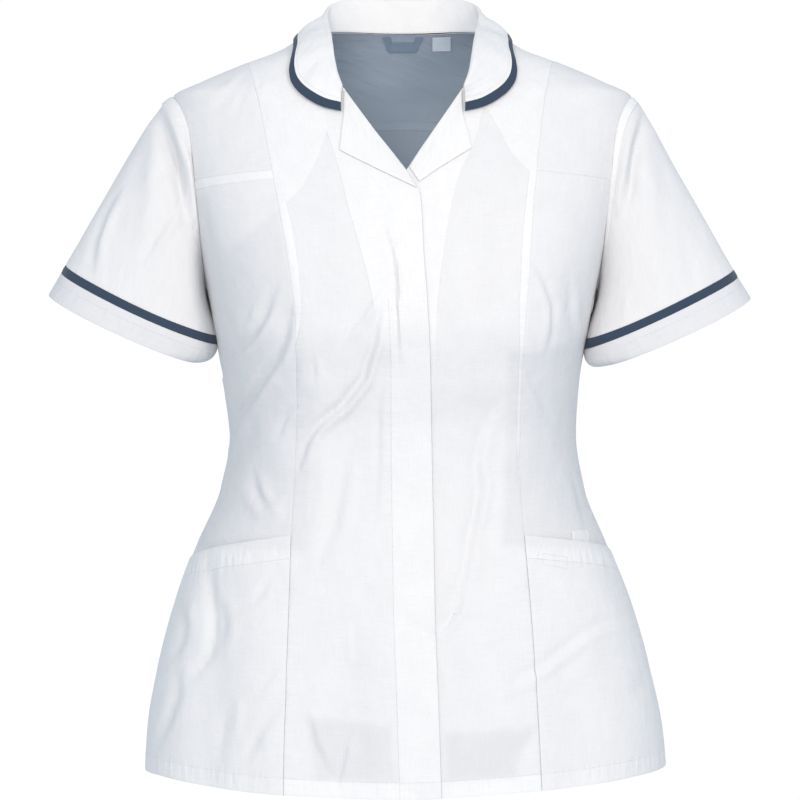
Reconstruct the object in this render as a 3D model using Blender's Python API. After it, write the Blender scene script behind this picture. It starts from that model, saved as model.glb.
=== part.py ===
"""Short-sleeved healthcare work tunic, worn on nothing, held in its filled-out form.

Frame: millimetres in the tables, metres in the scene. +Z up, the front faces -Y, the wearer's
right is -X. The origin lies between the shoulders, 62 mm in front of the nape and level with
the middle of the shoulder seams.

The body is a stack of level rings. A place on it is an angle (0 centre front, 90 wearer's left
side, -90 wearer's right side, 180 centre back) and a height. Seams are tables of x against
height. Each panel is a patch between its seams, one wall thick, and stops half a seam gap
short of each of them.
"""

import math

import bpy
import numpy as np

MM = 0.001
WALL = 1.4
TRIM_WALL = 1.2
SEAM_GAP = 0.36
LAYER_GAP = 0.5
POCKET_GAP = 0.9
LAPEL_GAP = 0.8
RIGHT, LEFT = -1, 1

WHITE = (0.86, 0.88, 0.91)
NAVY = (0.026, 0.044, 0.088)
SLATE = (0.13, 0.17, 0.23)
GREY = (0.42, 0.48, 0.57)


class Curve:
    """A smooth line through rows of a table that never swings past them."""

    def __init__(self, places, values):
        order = np.argsort(places)
        self.places = np.array(places, float)[order]
        self.values = np.array(values, float)[order]
        slopes = np.diff(self.values) / np.diff(self.places)
        before, after = slopes[:-1], slopes[1:]
        same = before * after > 0
        bends = np.where(same, 2 * before * after / np.where(same, before + after, 1), 0.0)
        self.bends = np.concatenate([[slopes[0]], bends, [slopes[-1]]])

    def __call__(self, place):
        place = np.clip(place, self.places[0], self.places[-1])
        row = np.clip(np.searchsorted(self.places, place) - 1, 0, len(self.places) - 2)
        step = self.places[row + 1] - self.places[row]
        t = (place - self.places[row]) / step
        return (
            (1 + 2 * t) * (1 - t) ** 2 * self.values[row]
            + t * (1 - t) ** 2 * step * self.bends[row]
            + t * t * (3 - 2 * t) * self.values[row + 1]
            + t * t * (t - 1) * step * self.bends[row + 1]
        )


def column_curves(rows):
    """One curve for each column of a table, against its first column."""
    columns = list(zip(*rows))
    return [Curve(columns[0], column) for column in columns[1:]]


# Body rings: height, half width on the wearer's right and left, depth of front and back,
# and how full the corners of front and back are.
RINGS = (
    (-680, 242.5, 247.5, 141, 129, 0.16, 0.12),
    (-620, 239.5, 243.5, 138, 127, 0.16, 0.12),
    (-560, 230.0, 231.5, 135, 126, 0.16, 0.12),
    (-500, 214.0, 214.0, 130, 121, 0.16, 0.12),
    (-440, 192.0, 190.0, 124, 111, 0.18, 0.12),
    (-390, 171.5, 170.0, 120, 101, 0.20, 0.14),
    (-340, 164.5, 162.5, 123, 95, 0.26, 0.16),
    (-290, 169.0, 165.0, 137, 100, 0.34, 0.20),
    (-240, 177.5, 174.0, 149, 109, 0.40, 0.24),
    (-195, 186.0, 184.0, 147, 113, 0.40, 0.28),
    (-150, 196.0, 195.0, 135, 114, 0.34, 0.30),
    (-100, 208.0, 207.0, 116, 111, 0.26, 0.28),
    (-60, 214.0, 213.0, 97, 104, 0.18, 0.22),
    (-24, 216.0, 215.0, 79, 94, 0.12, 0.16),
    (-9, 187.0, 187.0, 71, 88, 0.12, 0.14),
    (6, 152.0, 152.0, 63, 83, 0.10, 0.12),
    (20, 114.0, 114.0, 53, 76, 0.08, 0.10),
    (28, 100.0, 100.0, 46, 71, 0.06, 0.08),
    (36, 80.0, 80.0, 38, 66, 0.04, 0.06),
    (43, 64.0, 64.0, 32, 61, 0.04, 0.06),
)
HALF_RIGHT, HALF_LEFT, DEPTH_FRONT, DEPTH_BACK, FULL_FRONT, FULL_BACK = column_curves(RINGS)

# Large folds: the face they lie on (-1 front, 1 back), the line they run along (x1, z1, x2, z2),
# half width and height. A trough has a height below zero.
FOLDS = (
    (-1, -112, -235, -162, -356, 20, -3.5),
    (-1, -24, -282, -50, -346, 20, -2.5),
    (-1, 70, -320, 66, -430, 20, -2.5),
    (-1, 66, -430, 34, -530, 20, -2.0),
    (-1, -165, -490, -182, -650, 22, -4.5),
    (-1, -128, -520, -112, -660, 24, 2.5),
    (-1, 150, -560, 158, -652, 22, -3.0),
    (-1, 60, -560, 66, -660, 28, -2.5),
    (-1, -52, -560, -56, -664, 28, -2.5),
    (1, -60, -300, -120, -400, 24, -3.5),
    (1, 60, -300, 120, -400, 24, -3.5),
    (1, 0, -300, 0, -380, 30, -3.0),
    (1, -95, -500, -110, -652, 30, -4.0),
    (1, 95, -500, 110, -652, 30, -4.0),
    (1, 0, -520, 0, -654, 32, 2.5),
)

# Hem height against angle, all the way round.
HEM = (
    (-90, -654.5),
    (-72, -654.5),
    (-48, -660.0),
    (-27, -665.0),
    (0, -668.0),
    (25, -663.0),
    (46, -657.5),
    (62, -653.0),
    (90, -650.0),
    (130, -653.0),
    (180, -655.0),
    (230, -654.0),
    (270, -654.5),
)
HEM_HEIGHT = Curve(*zip(*HEM))

# Panel seam from hem to shoulder: height and distance from the middle, wearer's right and left.
PRINCESS = (
    (-680, 107.5, 126.5),
    (-650, 107.4, 125.0),
    (-580, 105.8, 121.5),
    (-490, 103.3, 115.1),
    (-432, 101.8, 110.5),
    (-363, 98.3, 106.4),
    (-308, 96.0, 107.0),
    (-245, 97.2, 110.2),
    (-191, 102.7, 114.3),
    (-141, 111.4, 117.8),
    (-99, 119.3, 121.9),
    (-70, 125.3, 125.2),
    (-32, 133.4, 130.5),
    (2, 143.3, 138.0),
    (20, 150.0, 145.0),
)
PRINCESS_RIGHT, PRINCESS_LEFT = column_curves(PRINCESS)

# Free edge of the overlapping right front, below the turned-back lapel.
PLACKET = (
    (-680, 35.0),
    (-569, 31.4),
    (-500, 28.8),
    (-428, 27.5),
    (-369, 26.2),
    (-317, 25.2),
    (-265, 24.1),
    (-214, 21.4),
    (-179, 18.7),
    (-128, 16.2),
    (-118.5, 14.4),
)
PLACKET_X = Curve(*zip(*PLACKET))
UNDERLAP_X = -14.0
UNDERLAP_TOP = -124.0
OVERLAP_RISE = 1.4

# Lapel roll line and neck seam of the fronts: x to the wearer's own side, and height.
ROLL_RIGHT = ((-14.4, -118.5), (-2.6, -99.9), (25.6, -63.2), (54.0, -22.0))
ROLL_LEFT = ((-14.0, -124.0), (2.6, -99.9), (29.0, -60.0), (54.0, -22.0))
NECK_FRONT = (
    (54.0, -22.0),
    (62.0, -14.0),
    (68.0, -3.0),
    (71.0, 10.0),
    (72.5, 21.0),
    (74.5, 29.0),
    (77.5, 33.5),
    (80.0, 36.0),
)
NECK_BACK = ((90, 36.0), (102, 38.6), (118, 40.6), (138, 41.8), (180, 42.0))
NECK_BACK_HEIGHT = Curve(*zip(*NECK_BACK))

ARMHOLE_MIDDLE, ARMHOLE_RISE, ARMHOLE_REACH = -116.0, 88.0, 52.0
FRONT_YOKE_TURN, BACK_YOKE_TURN = 83.0, 39.0
YOKE_AT_PRINCESS = -99.0
BACK_YOKE_MIDDLE = -38.0
POCKET_TOP_INNER = -431.0
POCKET_TOP_OUTER = {RIGHT: -458.5, LEFT: -450.5}

# How many steps each seam is cut into. Two pieces at a seam share its points.
POCKET_STEPS, SIDE_STEPS, ARMHOLE_STEPS = 6, 8, 8
YOKE_STEPS, YOKE_COLUMNS, FRONT_COLUMNS = 6, 7, 9
BACK_ARMHOLE_STEPS, BACK_YOKE_STEPS, BACK_COLUMNS = 8, 4, 24
ROLL_STEPS, NECK_STEPS = 5, 7


def unit(vectors):
    return vectors / np.linalg.norm(vectors, axis=-1, keepdims=True)


def ring_point(angle, height):
    """The bare form of the body, before folds."""
    angle, height = np.broadcast_arrays(np.asarray(angle, float), np.asarray(height, float))
    across, ahead = np.sin(np.radians(angle)), np.cos(np.radians(angle))
    half = np.where(across < 0, HALF_RIGHT(height), HALF_LEFT(height))
    in_front = ahead >= 0
    depth = np.where(in_front, DEPTH_FRONT(height), DEPTH_BACK(height))
    full = np.where(in_front, FULL_FRONT(height), FULL_BACK(height))
    return np.stack([half * across, -depth * ahead * (1 + full * across**2), height], -1)


def ring_normal(angle, height):
    around = ring_point(angle + 0.4, height) - ring_point(angle - 0.4, height)
    along = ring_point(angle, height + 0.6) - ring_point(angle, height - 0.6)
    return unit(np.cross(around, along))


def fold_height(points):
    """How far the large folds move the cloth out at these points."""
    total = np.zeros(points.shape[:-1])
    places = points[..., [0, 2]]
    for face, x1, z1, x2, z2, half_width, height in FOLDS:
        start, way = np.array([x1, z1]), np.array([x2 - x1, z2 - z1])
        share = np.clip((places - start) @ way / (way @ way), 0, 1)
        away = np.linalg.norm(places - start - share[..., None] * way, axis=-1)
        on_face = 1 / (1 + np.exp(-face * points[..., 1] / 8))
        total += height * on_face * np.exp(-((away / half_width) ** 2))
    return total


def body_point(angle, height, lift=0.0):
    """A place on the cloth's outer face, with its folds, moved out by lift."""
    points = ring_point(angle, height)
    rise = fold_height(points) + lift
    return points + ring_normal(angle, height) * rise[..., None]


def angle_of(x, height, side):
    """The angle on the front where the body is x from the middle, on one side."""
    half = HALF_RIGHT(height) if side == RIGHT else HALF_LEFT(height)
    return side * np.degrees(np.arcsin(np.clip(x / half, -1, 1)))


def evenly(places, count):
    """Places (angle, height) cut into equal steps of true length along the cloth."""
    places = np.array(places, float)
    fine = np.concatenate(
        [np.linspace(a, b, 24, endpoint=False) for a, b in zip(places[:-1], places[1:])]
        + [places[-1:]]
    )
    steps = np.linalg.norm(np.diff(ring_point(fine[:, 0], fine[:, 1]), axis=0), axis=1)
    length = np.concatenate([[0], np.cumsum(steps)])
    wanted = np.linspace(0, length[-1], count + 1)
    return np.stack([np.interp(wanted, length, fine[:, k]) for k in (0, 1)], -1)


def joined(*runs):
    return np.concatenate([runs[0]] + [run[1:] for run in runs[1:]])


def hem_run(first, last, count):
    angles = np.linspace(first, last, 60)
    return evenly(np.stack([angles, HEM_HEIGHT(angles)], -1), count)


def princess_x(height, side):
    return PRINCESS_RIGHT(height) if side == RIGHT else PRINCESS_LEFT(height)


def princess_angle(height, side):
    return angle_of(princess_x(height, side), height, side)


def princess_top(side):
    """Where the panel seam meets the shoulder seam."""
    heights = np.linspace(-20, 20, 4001)
    half = HALF_RIGHT(heights) if side == RIGHT else HALF_LEFT(heights)
    return heights[np.argmax(half <= princess_x(heights, side))]


def princess_hem(side):
    angle = side * 28.0
    for _ in range(20):
        angle = princess_angle(HEM_HEIGHT(angle), side)
    return float(HEM_HEIGHT(angle))


def princess_run(bottom, top, side, count):
    heights = top - (top - bottom) * np.linspace(1, 0, 90) ** 1.6
    angles = princess_angle(heights, side)
    if top == princess_top(side):
        angles[-1] = side * 90
    return evenly(np.stack([angles, heights], -1), count)


def armhole_place(turn, side):
    """Angle and height on the armhole: turn 0 at the shoulder, 90 in front, 180 at the underarm."""
    turn = np.asarray(turn, float)
    height = ARMHOLE_MIDDLE + ARMHOLE_RISE * np.cos(np.radians(turn))
    reach = ARMHOLE_REACH * np.sin(np.radians(turn))
    in_front = reach >= 0
    depth = np.where(in_front, DEPTH_FRONT(height), DEPTH_BACK(height))
    full = np.where(in_front, FULL_FRONT(height), FULL_BACK(height))
    ahead = reach / depth
    for _ in range(30):
        ahead = reach / (depth * (1 + full * (1 - ahead**2)))
    return np.stack([side * np.degrees(np.arccos(ahead)), height], -1)


def armhole_run(first, last, side, count):
    return armhole_place(np.linspace(first, last, count + 1), side)


def side_seam_run(bottom, top, side, count):
    heights = np.linspace(bottom, top, count + 1)
    return np.stack([np.full(count + 1, 90.0 * side), heights], -1)


def patch(first, last, bottom, top):
    """A grid of places between four edges. first and last run up the piece."""
    u = np.linspace(0, 1, len(bottom))[None, :, None]
    v = np.linspace(0, 1, len(first))[:, None, None]
    between = (1 - u) * first[:, None] + u * last[:, None]
    upward = (1 - v) * bottom[None] + v * top[None]
    corners = (1 - v) * ((1 - u) * first[0] + u * last[0])
    corners = corners + v * ((1 - u) * first[-1] + u * last[-1])
    return between + upward - corners


def held_back(points, normals, amount=SEAM_GAP / 2):
    """Each edge of a grid moved into its own piece."""
    moved = points.copy()
    grids = (
        (moved, points, normals),
        (moved[::-1], points[::-1], normals[::-1]),
        (moved.swapaxes(0, 1), points.swapaxes(0, 1), normals.swapaxes(0, 1)),
        (
            moved.swapaxes(0, 1)[::-1],
            points.swapaxes(0, 1)[::-1],
            normals.swapaxes(0, 1)[::-1],
        ),
    )
    for out, grid, facing in grids:
        run = np.gradient(grid[0], axis=0)
        way = unit(np.cross(run, facing[0]))
        inward = np.sign(np.sum(way * (grid[1] - grid[0]), axis=-1, keepdims=True))
        out[0] += way * inward * amount
    return moved


def cloth_material(name, colour):
    material = bpy.data.materials.new(name + "_cloth")
    material.use_nodes = True
    shader = material.node_tree.nodes["Principled BSDF"]
    shader.inputs["Base Color"].default_value = (*colour, 1.0)
    shader.inputs["Roughness"].default_value = 0.85
    material.diffuse_color = (*colour, 1.0)
    return material


def solid_from(name, outer, inner, colour, wraps=False):
    """A closed solid between two grids of points. A grid that wraps is a tube."""
    rows, columns = outer.shape[:2]
    points = np.concatenate([outer.reshape(-1, 3), inner.reshape(-1, 3)])
    across = range(columns if wraps else columns - 1)
    under = rows * columns

    def at(row, column):
        return row * columns + column % columns

    faces = []
    for row in range(rows - 1):
        for column in across:
            quad = (
                at(row, column),
                at(row, column + 1),
                at(row + 1, column + 1),
                at(row + 1, column),
            )
            faces.append(quad)
            faces.append(tuple(under + corner for corner in reversed(quad)))
    for column in across:
        for row, ahead in ((0, 0), (rows - 1, 1)):
            a, b = at(row, column + ahead), at(row, column + 1 - ahead)
            faces.append((b, a, under + a, under + b))
    if not wraps:
        for row in range(rows - 1):
            for column, ahead in ((0, 1), (columns - 1, 0)):
                a, b = at(row + ahead, column), at(row + 1 - ahead, column)
                faces.append((b, a, under + a, under + b))
    corners = points[np.array(faces)]
    swept = np.cross(corners[:, 1] - corners[:, 0], corners[:, 2] - corners[:, 0])
    swept += np.cross(corners[:, 2] - corners[:, 0], corners[:, 3] - corners[:, 0])
    if np.sum(swept * corners.mean(axis=1)) < 0:
        faces = [tuple(reversed(face)) for face in faces]
    mesh = bpy.data.meshes.new(name)
    mesh.from_pydata((points * MM).tolist(), [], faces)
    mesh.materials.append(cloth_material(name, colour))
    made = bpy.data.objects.new(name, mesh)
    tunic.objects.link(made)
    return made


def body_piece(name, places, lift=0.0, wall=WALL, colour=WHITE, gap=SEAM_GAP / 2):
    """A piece that lies on the body, lift above its face."""
    angles, heights = places[..., 0], places[..., 1]
    normals = ring_normal(angles, heights)
    points = held_back(body_point(angles, heights, lift), normals, gap)
    return solid_from(name, points, points - normals * wall, colour)


def ease(value, low, high):
    t = np.clip((value - low) / (high - low), 0, 1)
    return t * t * (3 - 2 * t)


def overlap_lift(places, side):
    """The right front rises over the underlap, and the left front sinks below it."""
    points = ring_point(places[..., 0], places[..., 1])
    if side == RIGHT:
        return OVERLAP_RISE * ease(points[..., 0], -50, -22)
    edge = np.where(
        points[..., 2] > -118.5,
        np.interp(points[..., 2], (-118.5, -99.9, -63.2, -22), (14.4, 2.6, -25.6, -54.0)),
        PLACKET_X(points[..., 2]),
    )
    return -OVERLAP_RISE * (1 - ease(points[..., 0] - edge, 8, 32))


def front_inner_edge(side):
    """From the hem up the front edge, the roll line and the neck seam to the shoulder."""
    below = POCKET_STEPS + SIDE_STEPS + ARMHOLE_STEPS + YOKE_STEPS - ROLL_STEPS - NECK_STEPS
    if side == RIGHT:
        top, roll = -118.5, ROLL_RIGHT
        heights = np.linspace(-668, top, 60)
        angles = angle_of(PLACKET_X(heights), heights, LEFT)
    else:
        top, roll = UNDERLAP_TOP, ROLL_LEFT
        heights = np.linspace(-668, top, 60)
        angles = angle_of(-UNDERLAP_X, heights, RIGHT)
    heights[0] = HEM_HEIGHT(angles[0])
    edge = evenly(np.stack([angles, heights], -1), below)
    turned = evenly([(angle_of(x, z, side), z) for x, z in roll], ROLL_STEPS)
    neck = evenly([(angle_of(x, z, side), z) for x, z in NECK_FRONT], NECK_STEPS)
    neck[-1] = (90 * side, NECK_FRONT[-1][1])
    return joined(edge, turned, neck)


def shoulder_run(first, last, side, count):
    heights = np.linspace(first, last, count + 1)
    return evenly(np.stack([np.full(count + 1, 90.0 * side), heights], -1), count)


def princess_edge(side):
    """The whole panel seam, in the steps of the pieces beside it."""
    low = princess_run(princess_hem(side), POCKET_TOP_INNER, side, POCKET_STEPS)
    middle = princess_run(
        POCKET_TOP_INNER, YOKE_AT_PRINCESS, side, SIDE_STEPS + ARMHOLE_STEPS
    )
    high = princess_run(YOKE_AT_PRINCESS, princess_top(side), side, YOKE_STEPS)
    return low, middle, high


def front(side):
    edge = joined(*princess_edge(side))
    inner = front_inner_edge(side)
    bottom = hem_run(edge[0, 0], inner[0, 0], FRONT_COLUMNS)
    top = shoulder_run(princess_top(side), NECK_FRONT[-1][1], side, FRONT_COLUMNS)
    bottom[0], bottom[-1], top[0], top[-1] = edge[0], inner[0], edge[-1], inner[-1]
    return patch(edge, inner, bottom, top)


def pocket_line(side, count):
    low, _, _ = princess_edge(side)
    return evenly([low[-1], (90 * side, POCKET_TOP_OUTER[side])], count)


def side_front(side):
    """Two patches one above the other, so that a row lies along the pocket's top."""
    low, middle, _ = princess_edge(side)
    hem_corner = float(HEM_HEIGHT(90 * side))
    underarm = ARMHOLE_MIDDLE - ARMHOLE_RISE
    line = pocket_line(side, YOKE_COLUMNS)
    pocket_top = POCKET_TOP_OUTER[side]
    outer_low = side_seam_run(hem_corner, pocket_top, side, POCKET_STEPS)
    bottom = hem_run(low[0, 0], 90 * side, YOKE_COLUMNS)
    bottom[0] = low[0]
    lower = patch(low, outer_low, bottom, line)
    outer = joined(
        side_seam_run(pocket_top, underarm, side, SIDE_STEPS),
        armhole_run(180, FRONT_YOKE_TURN, side, ARMHOLE_STEPS),
    )
    upper = patch(middle, outer, line, yoke_line(side))
    return np.concatenate([lower, upper[1:]])


def yoke_line(side):
    _, middle, _ = princess_edge(side)
    return evenly([middle[-1], armhole_place(FRONT_YOKE_TURN, side)], YOKE_COLUMNS)


def front_yoke(side):
    _, _, high = princess_edge(side)
    outer = armhole_run(FRONT_YOKE_TURN, 0, side, YOKE_STEPS)
    shoulder = shoulder_run(high[-1, 1], outer[-1, 1], side, YOKE_COLUMNS)
    shoulder[0], shoulder[-1] = high[-1], outer[-1]
    return patch(high, outer, yoke_line(side), shoulder)


def round_the_back(places):
    """Angles carried on past 180, so that the back is one run from left to right."""
    places = places.copy()
    places[:, 0] = np.mod(places[:, 0], 360)
    return places


def back_yoke_line():
    left = armhole_place(-BACK_YOKE_TURN, LEFT)
    right = round_the_back(armhole_place(-BACK_YOKE_TURN, RIGHT)[None])[0]
    return evenly([left, (180, BACK_YOKE_MIDDLE), right], BACK_COLUMNS)


def back_side_edge(side):
    hem_corner, pocket_top = float(HEM_HEIGHT(90 * side)), POCKET_TOP_OUTER[side]
    run = joined(
        side_seam_run(hem_corner, pocket_top, side, POCKET_STEPS),
        side_seam_run(pocket_top, ARMHOLE_MIDDLE - ARMHOLE_RISE, side, SIDE_STEPS),
        armhole_run(-180, -BACK_YOKE_TURN, side, BACK_ARMHOLE_STEPS),
    )
    return round_the_back(run)


def back():
    bottom = hem_run(90, 270, BACK_COLUMNS)
    return patch(back_side_edge(LEFT), back_side_edge(RIGHT), bottom, back_yoke_line())


def back_yoke_side_edge(side):
    """Up the armhole to the shoulder, then along both shoulder seams to the neck."""
    armhole = armhole_run(-BACK_YOKE_TURN, 0, side, BACK_YOKE_STEPS)
    over_yoke = front_yoke(side)[-1][::-1]
    over_front = front(side)[-1]
    return round_the_back(joined(armhole, over_yoke, over_front))


def back_yoke():
    angles = np.linspace(90, 270, 91)
    mirrored = 180 - np.abs(180 - angles)
    neck = np.stack([angles, NECK_BACK_HEIGHT(mirrored)], -1)
    top = evenly(neck, BACK_COLUMNS)
    first, last = back_yoke_side_edge(LEFT), back_yoke_side_edge(RIGHT)
    top[0], top[-1] = first[-1], last[-1]
    return patch(first, last, back_yoke_line(), top)


# Sleeve: the hem ring is a flat oval. Its long way runs from the outer corner of the sleeve
# down and in to the corner beside the body, and that corner lies further ahead.
CUFF_MIDDLE = (262.5, -10.0, -242.3)
CUFF_LONG_WAY = (0.908, 0.0, 0.419)
CUFF_OUTWARD = {RIGHT: 1.8, LEFT: -3.0}
CUFF_HALF_LONG = {RIGHT: 74.8, LEFT: 73.5}
CUFF_HALF_DEEP, CUFF_DIP, CUFF_INNER_AHEAD = 52.0, 6.8, 20.0
CUFF_DOWN_WAY = (0.419, 0.0, -0.908)
CUFF_BAND, TRIM_BAND = 24.5, 8.0
SLEEVE_STEPS, CUFF_STEPS = 8, 2
SLEEVE_ON_BODY = 0.45
BAND_GAP = 0.9

# How far the sleeve bows out of its straight lines: turn, then near its head, half way down
# and near its band on the wearer's right, and the same three on the left.
SLEEVE_BOW = (
    (0, 9.0, 3.0, 0.0, 7.0, -1.5, 0.0),
    (50, 5.0, 5.5, 0.0, 5.0, 4.0, 0.0),
    (90, 1.0, 7.0, 0.0, 1.0, 7.0, 0.0),
    (140, 0.0, 5.0, 3.0, 0.0, 5.0, 5.0),
    (180, 0.0, 0.0, 8.5, 0.0, 0.0, 14.0),
)
SLEEVE_BOW_CURVES = column_curves(SLEEVE_BOW)
BOW_AT_HEAD, BOW_AT_BAND = 0.6, 3.5
# How far the underarm line leans in to the body above the cuff.
SLEEVE_LEAN, LEAN_AT = {RIGHT: 14.5, LEFT: 13.0}, 2.1


def sleeve_turns():
    """Turns round the armhole that its neighbours use too, from the shoulder by the front."""
    return np.concatenate(
        [
            np.linspace(0, FRONT_YOKE_TURN, YOKE_STEPS + 1),
            np.linspace(FRONT_YOKE_TURN, 180, ARMHOLE_STEPS + 1)[1:],
            np.linspace(180, 360 - BACK_YOKE_TURN, BACK_ARMHOLE_STEPS + 1)[1:],
            np.linspace(360 - BACK_YOKE_TURN, 360, BACK_YOKE_STEPS + 1)[1:-1],
        ]
    )


def cuff_point(turn, side):
    across, ahead = np.cos(np.radians(turn)), np.sin(np.radians(turn))
    flip = np.array([side, 1.0, 1.0])
    reach = CUFF_OUTWARD[side] + across * CUFF_HALF_LONG[side]
    ring = np.array(CUFF_MIDDLE) + reach[:, None] * np.array(CUFF_LONG_WAY)
    ring = ring + ahead[:, None] * CUFF_DIP * np.array(CUFF_DOWN_WAY)
    ring[:, 1] -= CUFF_HALF_DEEP * ahead + CUFF_INNER_AHEAD * ((1 - across) / 2) ** 3
    return ring * flip


def sleeve_line(turn, share, side):
    """Points down the sleeve: share 0 at the armhole, 1 at the hem, one row for each share."""
    place = armhole_place(np.where(turn > 180, turn - 360, turn), side)
    start = body_point(place[:, 0], place[:, 1])
    facing = ring_normal(place[:, 0], place[:, 1])
    start = start + facing * SLEEVE_ON_BODY
    end = cuff_point(turn, side)
    middle = (start + end) / 2
    outward = unit(middle - middle.mean(axis=0))
    curves = SLEEVE_BOW_CURVES[:3] if side == RIGHT else SLEEVE_BOW_CURVES[3:]
    head, half_way, band = (curve(np.minimum(turn, 360 - turn)) for curve in curves)
    share = np.broadcast_to(np.asarray(share, float), turn.shape)
    bow = head * np.sin(np.pi * share**BOW_AT_HEAD) * (1 - share) ** 2
    bow = bow + half_way * np.sin(np.pi * share) + band * np.sin(np.pi * share**BOW_AT_BAND)
    lean = SLEEVE_LEAN[side] * ((1 - np.cos(np.radians(turn))) / 2) ** 3
    lean = lean * np.sin(np.pi * share**LEAN_AT)
    points = start + (end - start) * share[:, None] + outward * bow[:, None]
    points[:, 0] -= side * lean
    return points, facing


def sleeve_grid(turn, from_hem, side):
    """Rows of points, each a distance up from the hem. None is the armhole."""
    whole, facing = sleeve_line(turn, np.zeros(len(turn)), side)
    length = np.linalg.norm(cuff_point(turn, side) - whole, axis=1)
    seam = 1 - (CUFF_BAND + TRIM_BAND + BAND_GAP) / length
    rows = []
    for place in from_hem:
        share = seam * place if place <= 1 else 1 - place / length
        rows.append(sleeve_line(turn, share, side)[0])
    return np.array(rows), facing


def tube_normals(grid):
    around = np.roll(grid, -1, axis=1) - np.roll(grid, 1, axis=1)
    along = np.gradient(grid, axis=0)
    normals = unit(np.cross(around, along))
    outward = np.sum(normals * (grid - grid.mean(axis=1, keepdims=True)))
    return normals if outward > 0 else -normals


def sleeve_pieces(side, word):
    turn = sleeve_turns()
    hem = CUFF_BAND + TRIM_BAND
    shares = [0.0068, *np.linspace(0.1, 1, SLEEVE_STEPS)]
    grid, facing = sleeve_grid(turn, shares, side)
    normals = tube_normals(grid)
    top = ease(np.cos(np.radians(turn)), -0.1, 0.5)[:, None]
    normals[0] = unit((1 - top) * normals[0] + top * facing)
    solid_from("sleeve_" + word, grid, grid - normals * WALL, WHITE, wraps=True)
    places = [*np.linspace(CUFF_BAND, 1.5, CUFF_STEPS), 1.0001]
    cuff, _ = sleeve_grid(turn, places, side)
    cuff_normals = tube_normals(cuff)
    solid_from("cuff_" + word, cuff, cuff - cuff_normals * WALL, WHITE, wraps=True)
    trim, _ = sleeve_grid(turn, (hem, CUFF_BAND + BAND_GAP), side)
    normals = np.stack([normals[-1], cuff_normals[0]])
    solid_from("sleeve_trim_" + word, trim, trim - normals * TRIM_WALL, NAVY, wraps=True)


# Collar sections from the centre back round to its front end: the neck seam (x, height, and
# 1 where it lies on the back), the fold at the top (x, y, z) and the outer edge (x, height).
COLLAR = (
    (0.0, 42.0, 1, 0.0, 68.0, 76.0, 0.0, 12.0),
    (16.0, 42.0, 1, 18.0, 67.0, 76.0, 22.0, 12.0),
    (31.0, 42.0, 1, 35.0, 64.5, 75.8, 43.0, 12.5),
    (45.0, 41.8, 1, 50.0, 59.0, 75.0, 63.0, 13.5),
    (57.0, 41.0, 1, 61.0, 50.5, 72.5, 80.0, 16.0),
    (67.0, 39.5, 1, 68.5, 39.5, 67.5, 91.0, 20.0),
    (75.0, 37.6, 1, 71.0, 26.0, 60.5, 97.5, 25.0),
    (80.0, 36.0, 0, 70.5, 12.0, 53.0, 100.0, 28.0),
    (77.5, 33.5, 0, 69.0, -3.0, 45.5, 100.5, 22.5),
    (74.5, 29.0, 0, 67.3, -19.0, 37.5, 101.5, 14.0),
    (72.5, 21.0, 0, 65.5, -35.0, 28.0, 103.5, 3.0),
    (71.0, 10.0, 0, 64.0, -49.0, 17.0, 104.5, -7.0),
    (68.0, -3.0, 0, 62.0, -60.0, 5.0, 102.0, -18.0),
    (63.0, -12.5, 0, 59.5, -69.0, -6.5, 93.0, -29.0),
    (58.5, -18.5, 0, 57.2, -75.0, -14.5, 76.0, -40.0),
    (55.5, -21.5, 0, 56.0, -78.5, -19.0, 56.5, -45.5),
)
COLLAR_WALL = 1.5
STAND_OFF_NECK = 1.5
ROLL_RADIUS = 2.6
COLLAR_LIFT = 3.0
COLLAR_TRIM_WIDTH = 7.6
FALL_BULGE = 4.0
FALL_STEPS = 4


def lifted_clear(point, lift):
    """The point moved out of the body, where it is less than lift from its face."""
    for _ in range(4):
        height = min(point[2], 40.0)
        half = HALF_LEFT(height)
        depth = DEPTH_FRONT(height) if point[1] < 0 else DEPTH_BACK(height)
        angle = math.degrees(math.atan2(point[0] / half, -point[1] / depth))
        facing = ring_normal(angle, height)
        short = lift - float((point - ring_point(angle, height)) @ facing)
        if short > 0:
            point = point + facing * short
    return point


def collar_section(row):
    """Points from the neck seam up to the fold, over it and down to the outer edge."""
    neck_x, neck_z, on_back, fold_x, fold_y, fold_z, edge_x, edge_z = row
    neck_angle = float(angle_of(neck_x, neck_z, LEFT))
    edge_angle = float(angle_of(edge_x, edge_z, LEFT))
    if on_back:
        neck_angle, edge_angle = 180 - neck_angle, 180 - edge_angle
    neck = ring_point(neck_angle, neck_z)
    fold = np.array([fold_x, fold_y, fold_z])
    edge = ring_point(edge_angle, edge_z) + ring_normal(edge_angle, edge_z) * COLLAR_LIFT
    up = unit(fold - neck)
    low = neck + up * STAND_OFF_NECK
    down = unit(edge - fold)
    out = unit(down - (down @ up) * up)
    radius = min(ROLL_RADIUS, 0.42 * np.linalg.norm(fold - low))
    centre = fold - up * radius + out * radius
    bend = [
        centre + radius * (-math.cos(t) * out + math.sin(t) * up)
        for t in np.radians((0, 45, 90, 135, 180))
    ]
    stand = [low, (low + bend[0]) / 2]
    start = bend[-1]
    over = unit(np.cross(down, np.cross(out, down)))
    trim_from = 1 - COLLAR_TRIM_WIDTH / np.linalg.norm(edge - start)
    fall = []
    for share in [*np.linspace(0, trim_from, FALL_STEPS + 1)[1:], 1.0]:
        point = start + share * (edge - start) + over * FALL_BULGE * math.sin(math.pi * share)
        fall.append(lifted_clear(point, COLLAR_LIFT))
    return np.array(stand + bend + fall)


def collar_grid():
    half = np.array([collar_section(row) for row in COLLAR])
    other = half[:0:-1] * np.array([-1.0, 1.0, 1.0])
    return np.concatenate([other, half]).swapaxes(0, 1)


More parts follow.
